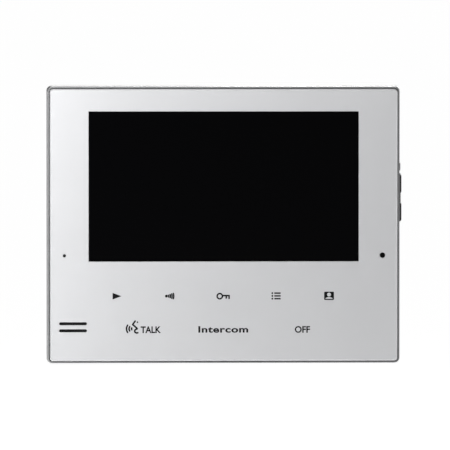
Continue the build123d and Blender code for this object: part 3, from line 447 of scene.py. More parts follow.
@dataclass(frozen=True)
class PrintedInk(Finish):
    """Screen-printed ink: matt, with a slightly uneven film."""

    rough: float = 0.55
    gloss: float = 0.1
    film_size: float = 3500.0
    depth: float = 1.5e-6

    def build(self) -> bpy.types.Material:
        """Make the material."""
        graph = Graph(self.name)
        film = graph.noise(graph.place(), self.film_size, 3.0)
        return graph.surface(
            Base_Color=graph.tint(film, shade(self.colour, 0.8), shade(self.colour, 1.2)),
            Roughness=self.rough + (film - 0.5) * 0.2,
            Specular_IOR_Level=self.gloss,
            Normal=graph.bump(film, self.depth),
        )


@dataclass(frozen=True)
class StudioFloor(Finish):
    """Plain pale studio floor, very slightly mottled, that keeps its white to the horizon."""

    glow: float = 0.3
    mottle_size: float = 0.8
    rough: float = 0.9

    def build(self) -> bpy.types.Material:
        """Make the material."""
        graph = Graph(self.name)
        mottle = graph.noise(graph.place(), self.mottle_size, 3.0)
        return graph.surface(
            Base_Color=graph.tint(mottle, shade(self.colour, 0.99), self.colour),
            Roughness=self.rough + mottle * 0.05,
            Specular_IOR_Level=0.1,
            Emission_Color=(1.0, 1.0, 1.0, 1.0),
            Emission_Strength=self.glow,
        )


# ------------------------------------------------------------------ mesh shapes
@dataclass(frozen=True)
class Sheet:
    """A flat place on the object: a 2-D drawing is laid on it, with height standing out of it."""

    origin: Triple
    right: Triple
    up: Triple

    def lay(self, points: np.ndarray) -> np.ndarray:
        """Take drawing points (across, up, height) to the object's frame.

        Args:
            points: an array whose last axis holds across, up and height, in metres.

        Returns:
            The same array in the object's frame: origin + across·right + up·up + height·normal.
        """
        right, up = np.array(self.right), np.array(self.up)
        axes = np.stack([right, up, np.cross(right, up)])
        return np.array(self.origin) + points @ axes


def quads(rows: int, columns: int, close_rows: bool, close_columns: bool) -> np.ndarray:
    """Faces of a grid of points, numbered row by row.

    Args:
        rows: the number of rows.
        columns: the number of points in a row.
        close_rows: join the last row to the first.
        close_columns: join the last point of each row to its first.

    Returns:
        An array of four point numbers for each face.
    """
    row = np.arange(rows if close_rows else rows - 1)[:, None]
    column = np.arange(columns if close_columns else columns - 1)[None, :]
    next_row, next_column = (row + 1) % rows, (column + 1) % columns
    corners = [
        row * columns + column,
        next_row * columns + column,
        next_row * columns + next_column,
        row * columns + next_column,
    ]
    return np.stack([corner.ravel() for corner in corners], axis=1)


def stroke(path: np.ndarray, width: float, height: Spot, round_ends: bool = True) -> Patch:
    """A pen stroke along a flat path.

    Each path point carries a rectangle of the stroke's width and height. With round ends the half width is
    that of a circle, sqrt(r² - (r - s)²), where s is the distance from the nearer end and r the half width.

    Args:
        path: the points, an array of (across, up).
        width: the stroke's width.
        height: the lowest and highest height.
        round_ends: round the two ends.

    Returns:
        The points and faces.
    """
    radius = width / 2
    steps = np.linalg.norm(np.diff(path, axis=0), axis=1)
    along = np.concatenate([[0.0], np.cumsum(steps)])
    if round_ends:
        tips = radius * (1 - np.cos(np.linspace(0.02, math.pi / 2, 9)))
        places = np.unique(np.concatenate([tips, along[-1] - tips, along[1:-1], [along[-1] / 2]]))
        path = np.stack([np.interp(places, along, path[:, 0]), np.interp(places, along, path[:, 1])], axis=1)
        short = np.clip(radius - np.minimum(places, along[-1] - places), 0, radius)
        half = np.sqrt(np.maximum(radius**2 - short**2, (0.06 * radius) ** 2))
    else:
        half = np.full(len(path), radius)
    ahead = np.gradient(path, axis=0)
    ahead /= np.linalg.norm(ahead, axis=1, keepdims=True)
    left = np.stack([-ahead[:, 1], ahead[:, 0]], axis=1) * half[:, None]
    ring = np.empty((len(path), 4, 3))
    for corner, (sign, level) in enumerate(((1, 1), (-1, 1), (-1, 0), (1, 0))):
        ring[:, corner, :2] = path + sign * left
        ring[:, corner, 2] = height[level]
    last = 4 * (len(path) - 1)
    caps = np.array([[0, 1, 2, 3], [last + 3, last + 2, last + 1, last]])
    return ring.reshape(-1, 3), np.concatenate([quads(len(path), 4, False, True), caps])


def band(outer: np.ndarray, inner: np.ndarray, height: Spot) -> Patch:
    """A flat ring between two outlines with the same number of points, with real thickness.

    Four rows, outer top, inner top, inner bottom and outer bottom, are joined into a closed ring.

    Args:
        outer: the outer outline, an array of (across, up).
        inner: the inner outline; all one point makes a plate with no hole.
        height: the lowest and highest height.

    Returns:
        The points and faces.
    """
    rows = [(outer, height[1]), (inner, height[1]), (inner, height[0]), (outer, height[0])]
    points = np.concatenate([np.column_stack([line, np.full(len(line), level)]) for line, level in rows])
    return points, quads(4, len(outer), True, True)


def plate(outline: np.ndarray, height: Spot) -> Patch:
    """A flat plate of a star-shaped outline: a band whose inner outline is the middle point."""
    return band(outline, np.tile(outline.mean(axis=0), (len(outline), 1)), height)


def circle(x: float, y: float, radius: float, count: int = 40) -> np.ndarray:
    """A circle's outline: middle + radius·(cos a, sin a) for a from 0 to a full turn."""
    angle = np.linspace(0, 2 * math.pi, count, endpoint=False)
    return np.stack([x + radius * np.cos(angle), y + radius * np.sin(angle)], axis=1)


def arc(x: float, y: float, radius: float, start: float, end: float, count: int = 17) -> np.ndarray:
    """A stretch of a circle between two angles in degrees."""
    angle = np.radians(np.linspace(start, end, count))
    return np.stack([x + radius * np.cos(angle), y + radius * np.sin(angle)], axis=1)


def rounded(x: float, y: float, width: float, height: float, radius: float, count: int = 8) -> np.ndarray:
    """A rounded rectangle's outline: four quarter circles joined by straight sides.

    Args:
        x: the middle, across.
        y: the middle, up.
        width: the full width.
        height: the full height.
        radius: the corners' radius.
        count: the points in each corner.

    Returns:
        The outline, an array of (across, up).
    """
    angle = np.linspace(0, 2 * math.pi, 4 * count, endpoint=False) + math.pi / (4 * count)
    side_x = np.sign(np.cos(angle)) * (width / 2 - radius)
    side_y = np.sign(np.sin(angle)) * (height / 2 - radius)
    return np.stack([x + side_x + radius * np.cos(angle), y + side_y + radius * np.sin(angle)], axis=1)


def soften(points: Sequence[Spot], radius: float, closed: bool, count: int = 5) -> np.ndarray:
    """A run of straight lines with rounded corners.

    Each corner c becomes the quadratic curve (1-t)²·(c+b) + 2t(1-t)·c + t²·(c+a), where b and a are steps of
    the given radius towards the corners before and after it.

    Args:
        points: the corners, as (across, up).
        radius: how far from the corner the curve begins.
        closed: join the last corner to the first.
        count: the points in each corner.

    Returns:
        The points, an array of (across, up).
    """
    corner = np.array(points, float)
    before, after = np.roll(corner, 1, axis=0) - corner, np.roll(corner, -1, axis=0) - corner
    before /= np.linalg.norm(before, axis=1, keepdims=True)
    after /= np.linalg.norm(after, axis=1, keepdims=True)
    t = np.linspace(0, 1, count)[None, :, None]
    middle, back, ahead = corner[:, None], before[:, None] * radius, after[:, None] * radius
    curve = (1 - t) ** 2 * (middle + back) + 2 * t * (1 - t) * middle + t**2 * (middle + ahead)
    if closed:
        return curve.reshape(-1, 2)
    return np.concatenate([corner[:1], curve[1:-1].reshape(-1, 2), corner[-1:]])


class Workshop:
    """Turns drawings into finished, closed mesh objects that ride on a body."""

    @staticmethod
    def piece(name: str, sheet: Sheet, patches: Iterable[Patch], paint: "Paint") -> bpy.types.Object:
        """Join patches into one mesh object at the origin.

        Args:
            name: the piece's name.
            sheet: the place that the drawing is laid on.
            patches: points and faces, in drawing coordinates.
            paint: the finish.

        Returns:
            The new object.
        """
        points, faces, count = [], [], 0
        for patch_points, patch_faces in patches:
            points.append(patch_points)
            faces.append(patch_faces + count)
            count += len(patch_points)
        mesh = bpy.data.meshes.new(name)
        mesh.from_pydata(sheet.lay(np.concatenate(points)).tolist(), [], np.concatenate(faces).tolist())
        Workshop.close(mesh)
        mesh.materials.append(paint.material())
        thing = bpy.data.objects.new(name, mesh)
        bpy.context.scene.collection.objects.link(thing)
        return thing

    @staticmethod
    def close(mesh: bpy.types.Mesh) -> None:
        """Merge doubled points and turn every face outwards."""
        work = bmesh.new()
        work.from_mesh(mesh)
        bmesh.ops.remove_doubles(work, verts=work.verts, dist=1e-7)
        bmesh.ops.dissolve_degenerate(work, edges=work.edges, dist=1e-8)
        bmesh.ops.recalc_face_normals(work, faces=work.faces)
        work.to_mesh(mesh)
        work.free()

    @staticmethod
    def attach(thing: bpy.types.Object, body: str, slot: str) -> None:
        """Make a piece ride on a body."""
        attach(thing, body)
        LOG.info("%s rides on %s with %d faces", thing.name, body, len(thing.data.polygons))


@dataclass(frozen=True)
class Word:
    """A word printed on a sheet."""

    text: str
    x: float
    y: float
    width: float
    cap: float
    spacing: float = 1.0
    weight: float = 0.0
    smoothness: int = 6

    def outline(self) -> bpy.types.Mesh:
        """The word as a solid mesh in the font's own units."""
        curve = bpy.data.curves.new(self.text, "FONT")
        curve.body = self.text
        curve.space_character = self.spacing
        curve.offset = self.weight
        curve.extrude = 0.5
        curve.resolution_u = self.smoothness
        holder = bpy.data.objects.new(self.text, curve)
        bpy.context.scene.collection.objects.link(holder)
        bpy.context.view_layer.update()
        mesh = bpy.data.meshes.new_from_object(holder.evaluated_get(bpy.context.evaluated_depsgraph_get()))
        bpy.data.objects.remove(holder)
        bpy.data.curves.remove(curve)
        return mesh

    def build(self, sheet: Sheet, height: Spot, paint: "Paint") -> bpy.types.Object:
        """Make the word as a thin solid mesh with its middle at (x, y).

        The font's points are brought to 0 to 1 each way, then spread over the width, cap height and height.

        Args:
            sheet: the place that it is laid on.
            height: the lowest and highest height.
            paint: the finish.

        Returns:
            The new object.
        """
        mesh = self.outline()
        raw = np.empty(len(mesh.vertices) * 3)
        mesh.vertices.foreach_get("co", raw)
        raw = raw.reshape(-1, 3)
        low, high = raw.min(axis=0), raw.max(axis=0)
        unit = (raw - low) / (high - low)
        drawn = np.empty_like(unit)
        drawn[:, 0] = self.x + (unit[:, 0] - 0.5) * self.width
        drawn[:, 1] = self.y + (unit[:, 1] - 0.5) * self.cap
        drawn[:, 2] = height[0] + unit[:, 2] * (height[1] - height[0])
        mesh.vertices.foreach_set("co", sheet.lay(drawn).ravel())
        Workshop.close(mesh)
        mesh.materials.clear()
        mesh.materials.append(paint.material())
        thing = bpy.data.objects.new("word_" + self.text.lower(), mesh)
        bpy.context.scene.collection.objects.link(thing)
        return thing


# ------------------------------------------------------------------ palette
class Paint(Enum):
    """Every finish on the monitor."""

    SILVER = SatinSilver("satin_silver", (0.62, 0.623, 0.634), rough=0.56)
    FRAME = MouldedPlastic(
        "frame_silver_grey", (0.20, 0.202, 0.206), rough=0.4, pit=1500.0, depth=4e-6, metal=0.3
    )
    CASE = MouldedPlastic("rear_case_grey", (0.115, 0.12, 0.125), rough=0.55, pit=1300.0, depth=2.2e-5)
    WINDOW = BlackWindow("black_window", (0.0004, 0.0004, 0.0006))
    LENS = BlackWindow("smoked_lens", (0.001, 0.001, 0.0012), rough=0.08, gloss=0.05)
    KEY = MouldedPlastic("key_black", (0.003, 0.003, 0.0033), rough=0.7, pit=2200.0, depth=5e-6, gloss=0.05)
    KNOB = MouldedPlastic("knob_grey", (0.19, 0.195, 0.2), rough=0.45)
    STEEL = PlatedSteel("plated_steel", (0.46, 0.465, 0.46), rough=0.5)
    SCREW = PlatedSteel("screw_steel", (0.42, 0.42, 0.43), rough=0.28, patch=900.0)
    TIN = PlatedSteel("tinned_sheet", (0.66, 0.665, 0.66), rough=0.26, patch=500.0)
    CAN = PlatedSteel("can_aluminium", (0.70, 0.71, 0.72), rough=0.3, patch=1500.0)
    YOKE = PlatedSteel("yoke_steel", (0.36, 0.36, 0.37), rough=0.3, patch=700.0)
    BOARD = CircuitBoard("circuit_board", (0.012, 0.10, 0.035))
    CHIP = MouldedPlastic("chip_black", (0.012, 0.012, 0.013), rough=0.6, pit=3000.0, depth=4e-6)
    FERRITE = MouldedPlastic("ferrite", (0.03, 0.03, 0.033), rough=0.65, pit=2500.0, depth=1e-5)
    NYLON = MouldedPlastic("nylon_white", (0.70, 0.68, 0.60), rough=0.5, pit=1600.0, depth=4e-6)
    RIBBON = RibbonFilm("ribbon_film", (0.30, 0.12, 0.02))
    DISPLAY = BlackWindow("display_glass", (0.004, 0.004, 0.006), rough=0.05, gloss=0.4)
    DIFFUSER = MouldedPlastic("backlight_white", (0.78, 0.78, 0.76), rough=0.6, pit=900.0, depth=3e-6)
    GUIDE = MouldedPlastic("light_guide", (0.80, 0.82, 0.83), rough=0.3, pit=900.0, depth=2e-6)
    LAMP = MouldedPlastic("lamp_phosphor", (0.80, 0.72, 0.30), rough=0.35, pit=4000.0, depth=2e-6)
    FOAM = MouldedPlastic("foam_black", (0.03, 0.03, 0.033), rough=0.9, pit=2600.0, depth=6e-5, gloss=0.2)
    RUBBER = MouldedPlastic(
        "rubber_black", (0.014, 0.014, 0.014), rough=0.75, pit=1200.0, depth=1e-5, gloss=0.3
    )
    TERMINAL = MouldedPlastic("terminal_green", (0.014, 0.17, 0.06), rough=0.42, pit=1500.0, depth=6e-6)
    LEVER = MouldedPlastic("lever_orange", (0.72, 0.16, 0.012), rough=0.4, pit=1500.0, depth=5e-6)
    CLOTH = Woven("dust_cloth", (0.004, 0.004, 0.0045))
    TAPE = MouldedPlastic("foam_tape", (0.05, 0.05, 0.052), rough=0.85, pit=1800.0, depth=2e-5)
    INK = PrintedInk("ink_dark", (0.004, 0.004, 0.0045))
    LABEL = PrintedInk("label_silver", (0.50, 0.505, 0.51), rough=0.42)
    MARK = PrintedInk("mark_white", (0.70, 0.70, 0.68))

    def material(self) -> bpy.types.Material:
        """The finish's material, made once."""
        made = bpy.data.materials.get(self.value.name)
        return made or self.value.build()


NODE_PAINT: dict[str, Paint] = {
    "front_panel": Paint.SILVER,
    "front_frame": Paint.FRAME,
    "rear_case": Paint.CASE,
    "display_window": Paint.WINDOW,
    "panel_tape": Paint.TAPE,
    "lcd_bezel": Paint.TIN,
    "lcd_glass": Paint.DISPLAY,
    "lcd_backlight": Paint.DIFFUSER,
    "lcd_retainer": Paint.STEEL,
    "retainer_screws": Paint.SCREW,
    "touch_board": Paint.BOARD,
    "light_guides": Paint.GUIDE,
    "touch_pads": Paint.FOAM,
    "key_lights": Paint.LAMP,
    "touch_chip": Paint.CHIP,
    "touch_screws": Paint.SCREW,
    "indicator_lens": Paint.LENS,
    "indicator_light": Paint.LAMP,
    "main_board": Paint.BOARD,
    "board_screws": Paint.SCREW,
    "processor_shield": Paint.TIN,
    "processor": Paint.CHIP,
    "memory_chips": Paint.CHIP,
    "capacitors": Paint.CAN,
    "inductor": Paint.FERRITE,
    "board_plugs": Paint.NYLON,
    "display_ribbon": Paint.RIBBON,
    "touch_ribbon": Paint.RIBBON,
    "touch_socket": Paint.NYLON,
    "terminal_block": Paint.TERMINAL,
    "terminal_pins": Paint.TIN,
    "slot_cloth": Paint.CLOTH,
    "speaker_gasket": Paint.FOAM,
    "speaker_basket": Paint.TIN,
    "speaker_magnet": Paint.YOKE,
    "speaker_cone": Paint.CHIP,
    "microphone_boot": Paint.RUBBER,
    "microphone": Paint.CAN,
    "side_key_carrier": Paint.KEY,
    "side_board": Paint.BOARD,
    "tact_switches": Paint.CHIP,
    "switch_body": Paint.TIN,
    "side_socket": Paint.NYLON,
    "speaker_lead": Paint.RUBBER,
    "microphone_lead": Paint.RUBBER,
    "side_lead": Paint.RUBBER,
    "case_screws": Paint.SCREW,
    "volume_up_key": Paint.KEY,
    "volume_down_key": Paint.KEY,
    "switch_knob": Paint.KNOB,
    "wall_bracket": Paint.STEEL,
}


def dress_nodes() -> None:
    """Give every carried-over node its finish; the terminal levers share theirs."""
    for name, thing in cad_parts.items():
        paint = Paint.LEVER if name.startswith("release_lever") else NODE_PAINT[name]
        thing.data.materials.clear()
        thing.data.materials.append(paint.material())
        LOG.info("%s is %s", name, paint.value.name)


# ------------------------------------------------------------------ printed front
@dataclass
class PrintedFront:
    """The icons, function words and microphone gauze on the silver panel.

    Corners, arcs and profiles are in millimetres about the icon's own place; every other size is in metres.
    """

    body: str = "monitor"
    slot: str = "panel_silver"
    ink: Spot = (-0.01 * MM, 0.03 * MM)
    cut: Spot = (-0.01 * MM, 0.045 * MM)
    pitch: float = 31.3 * MM
    shift: float = -0.55 * MM
    row_low: float = 38.3 * MM
    word_low: float = 18.35 * MM
    play_corners: tuple[Spot, ...] = ((-2.4, -1.95), (2.8, 0.0), (-2.4, 1.95))
    wave_dot: float = 0.85 * MM
    wave_radii: Spot = (1.4, 0.98)
    wave_spreads: tuple[float, ...] = (40.0, 33.0, 29.0, 27.0)
    wave_pen: float = 0.84 * MM
    key_ring: Spot = (2.0 * MM, 1.1 * MM)
    key_strokes: tuple[tuple[Spot, Spot], ...] = (
        ((-0.4, 0.0), (4.1, 0.0)),
        ((3.65, 0.3), (3.65, -2.0)),
        ((1.95, 0.3), (1.95, -1.8)),
    )
    key_pen: float = 0.9 * MM
    list_step: float = 1.65 * MM
    list_dot: float = 0.55 * MM
    list_bar: tuple[Spot, Spot] = ((-1.0, 0.0), (2.75, 0.0))
    list_pen: float = 0.86 * MM
    tile: Triple = (5.8 * MM, 4.9 * MM, 0.6 * MM)
    head_r: float = 1.15 * MM
    head_rise: float = 0.75 * MM
    dome_reach: Spot = (2.15, 1.0)
    dome_drop: float = 1.75
    talk_arcs: tuple[Triple, ...] = ((-2.4, 2.5, 0.9), (-1.15, 1.65, 0.65), (0.0, 0.95, 0.3))
    talk_pen: float = 0.95 * MM
    profile: tuple[Spot, ...] = (
        (2.1, 4.9), (0.25, 2.5), (1.2, 1.8), (3.1, 0.1), (1.5, -0.8), (1.6, -2.0), (2.6, -2.5), (3.8, -2.2),
    )
    profile_pen: float = 0.98 * MM
    eye_r: float = 0.5 * MM
    cap: float = 4.0 * MM
    weight: float = 0.03
    gauze_r: float = 0.93 * MM
    gauze_depth: Spot = (-0.35 * MM, -0.25 * MM)
    sheet: Sheet = field(init=False)
    row: float = field(init=False)
    word_row: float = field(init=False)

    def __post_init__(self) -> None:
        """Find the panel's face and the two rows of keys on it."""
        low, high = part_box("front_panel")
        self.sheet = Sheet(((low.x + high.x) / 2, low.y, 0.0), (1, 0, 0), (0, 0, 1))
        self.row = low.z + self.row_low
        self.word_row = low.z + self.word_low

    def icon(self, name: str, patches: Iterable[Patch], paint: Paint = Paint.INK) -> None:
        """Make one icon and attach it."""
        thing = Workshop.piece("icon_" + name, self.sheet, patches, paint)
        Workshop.attach(thing, self.body, self.slot)

    def line(self, points: Sequence[Spot], width: float, x: float, y: float) -> Patch:
        """A square-ended stroke through points in millimetres about a place."""
        return stroke(np.array(points, float) * MM + (x, y), width, self.ink, False)

    def play(self, x: float) -> None:
        """A filled triangle that points right."""
        outline = soften(self.play_corners, 0.2, True) * MM + (x, self.row)
        self.icon("play", [plate(outline, self.ink)])

    def waves(self, x: float) -> None:
        """A dot with four arcs that widen to the right."""
        start = x - 2.0 * MM
        first, step = self.wave_radii
        patches = [plate(circle(start, self.row, self.wave_dot), self.ink)]
        for number, spread in enumerate(self.wave_spreads):
            path = arc(start, self.row, (first + step * number) * MM, -spread, spread)
            patches.append(stroke(path, self.wave_pen, self.ink))
        self.icon("waves", patches)

    def key(self, x: float) -> None:
        """A key: a ring, a shaft and two teeth."""
        outer, inner = (circle(x - 1.85 * MM, self.row - 0.1 * MM, radius) for radius in self.key_ring)
        shaft = self.row + 0.25 * MM
        patches = [band(outer, inner, self.ink)]
        patches += [self.line(points, self.key_pen, x, shaft) for points in self.key_strokes]
        self.icon("key", patches)

    def lines(self, x: float) -> None:
        """A list: three rows of a dot and a bar."""
        patches = []
        for step in (-1, 0, 1):
            y = self.row + step * self.list_step
            patches.append(plate(circle(x - 2.15 * MM, y, self.list_dot, 20), self.ink))
            patches.append(self.line(self.list_bar, self.list_pen, x, y))
        self.icon("list", patches)

    def person(self, x: float) -> None:
        """A rounded square with a head and shoulders left light in it."""
        angle = np.linspace(0, math.pi, 24)
        wide, tall = self.dome_reach
        dome = np.stack([wide * np.cos(angle), tall * np.sin(angle) - self.dome_drop], axis=1)
        dome = dome * MM + (x, self.row)
        head = circle(x, self.row + self.head_rise, self.head_r)
        self.icon("person_tile", [plate(rounded(x, self.row, *self.tile), self.ink)])
        self.icon("person_figure", [plate(head, self.cut), plate(dome, self.cut)], Paint.SILVER)

    def talk(self, x: float) -> None:
        """A plain speech mark: a face in profile with three arcs in front of its mouth.

        An arc of half chord h and bulge b has radius r = (h² + b²) / 2b and spreads asin(h / r) each way.
        """
        y = self.word_row + 0.7 * MM
        patches = []
        for start, half, bulge in self.talk_arcs:
            radius = (half**2 + bulge**2) / (2 * bulge)
            spread = math.degrees(math.asin(half / radius))
            path = arc(x + (start + radius - bulge) * MM, y, radius * MM, 180 - spread, 180 + spread)
            patches.append(stroke(path, self.talk_pen, self.ink))
        face = soften(self.profile, 0.3, False) * MM + (x, y)
        patches.append(stroke(face, self.profile_pen, self.ink))
        patches.append(plate(circle(x + 3.15 * MM, y + 3.9 * MM, self.eye_r, 20), self.ink))
        self.icon("talk", patches)

    def words(self) -> None:
        """The two function words and the generic name of the thing."""
        spread = 1.5 * self.pitch
        base = self.word_row + 0.15 * MM
        words = [
            Word("TALK", -spread + 3.9 * MM, base, 12.0 * MM, self.cap, weight=self.weight),
            Word("OFF", spread - 0.6 * MM, base, 9.0 * MM, self.cap, weight=self.weight),
            Word("Intercom", -0.35 * MM, base + 0.1 * MM, 29.4 * MM, 3.9 * MM, 1.08, self.weight),
        ]
        for word in words:
            thing = word.build(self.sheet, self.ink, Paint.INK)
            Workshop.attach(thing, self.body, self.slot)

    def gauze(self) -> None:
        """The dark gauze set back in the microphone's hole."""
        low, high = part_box("microphone_boot")
        disc = plate(circle((low.x + high.x) / 2, (low.z + high.z) / 2, self.gauze_r), self.gauze_depth)
        thing = Workshop.piece("microphone_gauze", self.sheet, [disc], Paint.CLOTH)
        Workshop.attach(thing, self.body, "pad_foam")

    def build(self) -> None:
        """Make every printed mark."""
        icons: list[Callable[[float], None]] = [self.play, self.waves, self.key, self.lines, self.person]
        for step, icon in enumerate(icons):
            icon((step - 2) * self.pitch + self.shift)
        self.talk(-1.5 * self.pitch - 7.1 * MM)
        self.words()
        self.gauze()


@dataclass
class KeyMarks:
    """White plus and minus filling the marks moulded into the side keys."""

    slot: str = "key_black"
    length: float = 2.0 * MM
    width: float = 0.3 * MM
    depth: tuple[float, float] = (-0.22 * MM, -0.12 * MM)

    def build(self) -> None:
        """Make one mark for each key; each rides with its key."""
        for node, upright in (("volume_up_key", True), ("volume_down_key", False)):
            low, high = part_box(node)
            middle = (high.x, (low.y + high.y) / 2, (low.z + high.z) / 2)
            half = self.length / 2
            patches = [stroke(np.array([[-half, 0.0], [half, 0.0]]), self.width, self.depth, False)]
            if upright:
                patches.append(stroke(np.array([[0.0, -half], [0.0, half]]), self.width, self.depth, False))
            sheet = Sheet(middle, (0, 1, 0), (0, 0, 1))
            thing = Workshop.piece(node + "_mark", sheet, patches, Paint.MARK)
            Workshop.attach(thing, node, self.slot)


@dataclass
class RearMarks:
    """What is stuck or printed behind: a blank rating label and the numbers of the wire ways.

    The label and its rim are given as width, height and corner radius.
    """

    body: str = "monitor"
    ways: int = 6
    pitch: float = 5.0 * MM
    label_at: Spot = (-72.0 * MM, -38.0 * MM)
    label: Triple = (30.0 * MM, 22.0 * MM, 1.5 * MM)
    label_thick: Spot = (-0.01 * MM, 0.08 * MM)
    rim: Triple = (28.4 * MM, 20.4 * MM, 1.0 * MM)
    rim_hole: Triple = (27.8 * MM, 19.8 * MM, 0.8 * MM)
    rim_thick: Spot = (0.05 * MM, 0.1 * MM)
    digit: Spot = (0.9 * MM, 1.3 * MM)
    digit_drop: float = 1.15 * MM
    ink: Spot = (-0.01 * MM, 0.03 * MM)

    def build(self) -> None:
        """Make the label and the numbers."""
        back = Sheet((0.0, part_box("rear_case")[1].y, 0.0), (-1, 0, 0), (0, 0, 1))
        label, rim, hole = (rounded(*self.label_at, *size) for size in (self.label, self.rim, self.rim_hole))
        thing = Workshop.piece("rating_label", back, [plate(label, self.label_thick)], Paint.LABEL)
        Workshop.attach(thing, self.body, "case_grey")
        rim_thing = Workshop.piece("rating_label_rim", back, [band(rim, hole, self.rim_thick)], Paint.INK)
        Workshop.attach(rim_thing, self.body, "case_grey")
        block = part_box("terminal_block")[1]
        face = Sheet((0.0, block.y, 0.0), (-1, 0, 0), (0, 0, 1))
        for number in range(1, self.ways + 1):
            x = -(number - (self.ways + 1) / 2) * self.pitch
            digit = Word(str(number), x, block.z - self.digit_drop, *self.digit)
            made = digit.build(face, self.ink, Paint.MARK)
            Workshop.attach(made, self.body, "terminal_green")


@dataclass
class SmallBoardParts:
    """Chip resistors and capacitors on the back of the main board, in the terminal pocket.

    The body's and the ends' shares are parts of the whole chip's length and width.
    """

    body: str = "monitor"
    size: Triple = (1.6 * MM, 0.8 * MM, 0.45 * MM)
    columns: int = 7
    rows: int = 2
    step: Spot = (4.6 * MM, 3.2 * MM)
    over_block: float = 4.0 * MM
    sunk: float = -0.01 * MM
    body_share: Spot = (0.62, 0.94)
    body_corner: float = 0.05 * MM
    end_share: float = 0.2
    end_at: float = 0.4
    end_corner: float = 0.06 * MM
    end_proud: float = 0.03 * MM

    def build(self) -> None:
        """Make the bodies and the tinned ends as two pieces."""
        length, width, tall = self.size
        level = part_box("terminal_block")[1].z + self.over_block
        sheet = Sheet((0.0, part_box("main_board")[1].y, level), (-1, 0, 0), (0, 0, 1))
        bodies, ends = [], []
        for column in range(self.columns):
            for row in range(self.rows):
                x = (column - (self.columns - 1) / 2) * self.step[0]
                y = row * self.step[1]
                share_x, share_y = self.body_share
                outline = rounded(x, y, length * share_x, width * share_y, self.body_corner, 2)
                bodies.append(plate(outline, (self.sunk, tall)))
                for side in (-1, 1):
                    middle = x + side * length * self.end_at
                    cap = rounded(middle, y, length * self.end_share, width, self.end_corner, 2)
                    ends.append(plate(cap, (self.sunk, tall + self.end_proud)))
        for name, patches, paint in (("chip_parts", bodies, Paint.CHIP), ("chip_part_ends", ends, Paint.TIN)):
            thing = Workshop.piece(name, sheet, patches, paint)
            Workshop.attach(thing, self.body, "chip_black")


# ------------------------------------------------------------------ studio
@dataclass(frozen=True)
class SoftBox:
    """A square area light at a place, aimed at a point, in metres."""

    name: str
    place: Triple
    aim: Triple
    size: float
    power: float

    def build(self) -> bpy.types.Object:
        """Hang the light."""
        lamp = bpy.data.lights.new(self.name, "AREA")
        lamp.shape = "SQUARE"
        lamp.size = self.size
        lamp.energy = self.power
        thing = bpy.data.objects.new(self.name, lamp)
        thing.location = self.place
        thing.rotation_euler = (Vector(self.aim) - Vector(self.place)).to_track_quat("-Z", "Y").to_euler()
        bpy.context.scene.collection.objects.link(thing)
        return thing


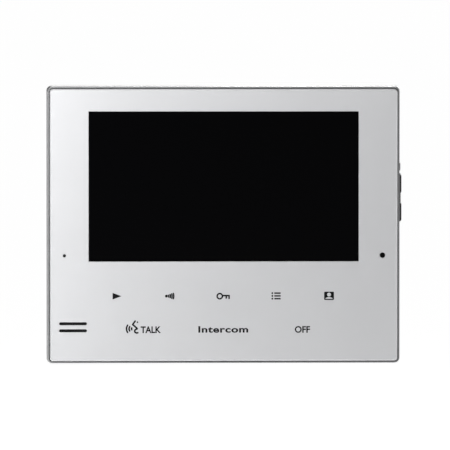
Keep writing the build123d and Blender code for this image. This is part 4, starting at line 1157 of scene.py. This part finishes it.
@dataclass
class Studio:
    """Camera, floor, sky and lights."""

    azimuth: float = -2.3
    elevation: float = 1.9
    lens: float = 600.0
    sensor: float = 36.0
    frame_width: float = 265.0 * MM
    aim_across: float = 0.68 * MM
    clip: float = 500.0
    floor_drop: float = 80.0 * MM
    floor_half: float = 120.0
    floor_tone: Colour = (0.88, 0.88, 0.88)
    sky: float = 0.02
    floor_glow: float = 0.975
    boxes: tuple[SoftBox, ...] = (
        SoftBox("key_left", (-0.3, -0.25, 0.2), (-0.09, -0.02, 0.0), 0.12, 1.02),
        SoftBox("key_upper_left", (-0.15, -0.25, 0.2), (-0.045, -0.02, 0.0), 0.12, 0.08),
        SoftBox("key_low_left", (-0.28, -0.25, 0.0), (-0.084, -0.02, 0.0), 0.12, 0.42),
        SoftBox("fill_top", (0.0, -0.25, 0.2), (0.0, -0.02, 0.0), 0.12, 0.1),
        SoftBox("fill_right", (0.15, -0.25, 0.2), (0.045, -0.02, 0.0), 0.12, 0.04),
        SoftBox("rim_right", (0.8, -0.05, 0.05), (0.1, -0.02, 0.0), 0.2, 0.8),
        SoftBox("rim_top", (0.0, -0.02, 0.8), (0.0, -0.02, 0.0), 0.3, 1.2),
        SoftBox("back_top", (0.0, 1.0, 0.6), (0.0, 0.0, 0.0), 0.4, 3.0),
        SoftBox("back_middle", (0.15, 1.2, 0.1), (0.0, 0.0, 0.0), 0.25, 5.5),
    )

    def camera(self) -> None:
        """Stand the camera off so that the frame is frame_width wide at the panel's face."""
        low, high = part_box("front_panel")
        turn, rise = math.radians(self.azimuth), math.radians(self.elevation)
        toward = Vector((math.sin(turn) * math.cos(rise), -math.cos(turn) * math.cos(rise), math.sin(rise)))
        aim = Vector(((low.x + high.x) / 2 + self.aim_across, low.y, (low.z + high.z) / 2))
        data = bpy.data.cameras.new("camera")
        data.lens = self.lens
        data.sensor_width = self.sensor
        data.clip_end = self.clip
        thing = bpy.data.objects.new("camera", data)
        thing.location = aim + toward * (self.frame_width * self.lens / self.sensor)
        thing.rotation_euler = (-toward).to_track_quat("-Z", "Y").to_euler()
        bpy.context.scene.collection.objects.link(thing)
        bpy.context.scene.camera = thing

    def floor(self) -> None:
        """Lay the plain pale floor below the hanging monitor."""
        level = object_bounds()[0][2] - self.floor_drop
        half = self.floor_half
        corners = [(-half, -half, level), (half, -half, level), (half, half, level), (-half, half, level)]
        mesh = bpy.data.meshes.new("floor")
        mesh.from_pydata(corners, [], [(0, 1, 2, 3)])
        mesh.materials.append(StudioFloor("floor_pale", self.floor_tone, glow=self.floor_glow).build())
        thing = bpy.data.objects.new("floor", mesh)
        bpy.context.scene.collection.objects.link(thing)
        thing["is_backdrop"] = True

    def world(self) -> None:
        """A dim sky that looks white where it is seen past the floor, and an untouched tone curve."""
        world = bpy.data.worlds.new("sky")
        world.use_nodes = True
        tree = world.node_tree
        seen = tree.nodes.new("ShaderNodeLightPath").outputs["Is Camera Ray"]
        level = tree.nodes.new("ShaderNodeMapRange")
        level.inputs["To Min"].default_value = self.sky
        level.inputs["To Max"].default_value = 1.0
        tree.links.new(seen, level.inputs["Value"])
        back = tree.nodes["Background"]
        back.inputs["Color"].default_value = (1.0, 1.0, 1.0, 1.0)
        tree.links.new(level.outputs["Result"], back.inputs["Strength"])
        bpy.context.scene.world = world
        bpy.context.scene.view_settings.view_transform = "Standard"

    def build(self) -> None:
        """Set everything up."""
        self.camera()
        self.floor()
        self.world()
        for box in self.boxes:
            box.build()


def main() -> None:
    """Build the looks in order."""
    logging.basicConfig(level=logging.INFO, format="%(name)s: %(message)s")
    Studio().build()
    dress_nodes()
    PrintedFront().build()
    KeyMarks().build()
    RearMarks().build()
    SmallBoardParts().build()


if __name__ == "__main__":
    main()
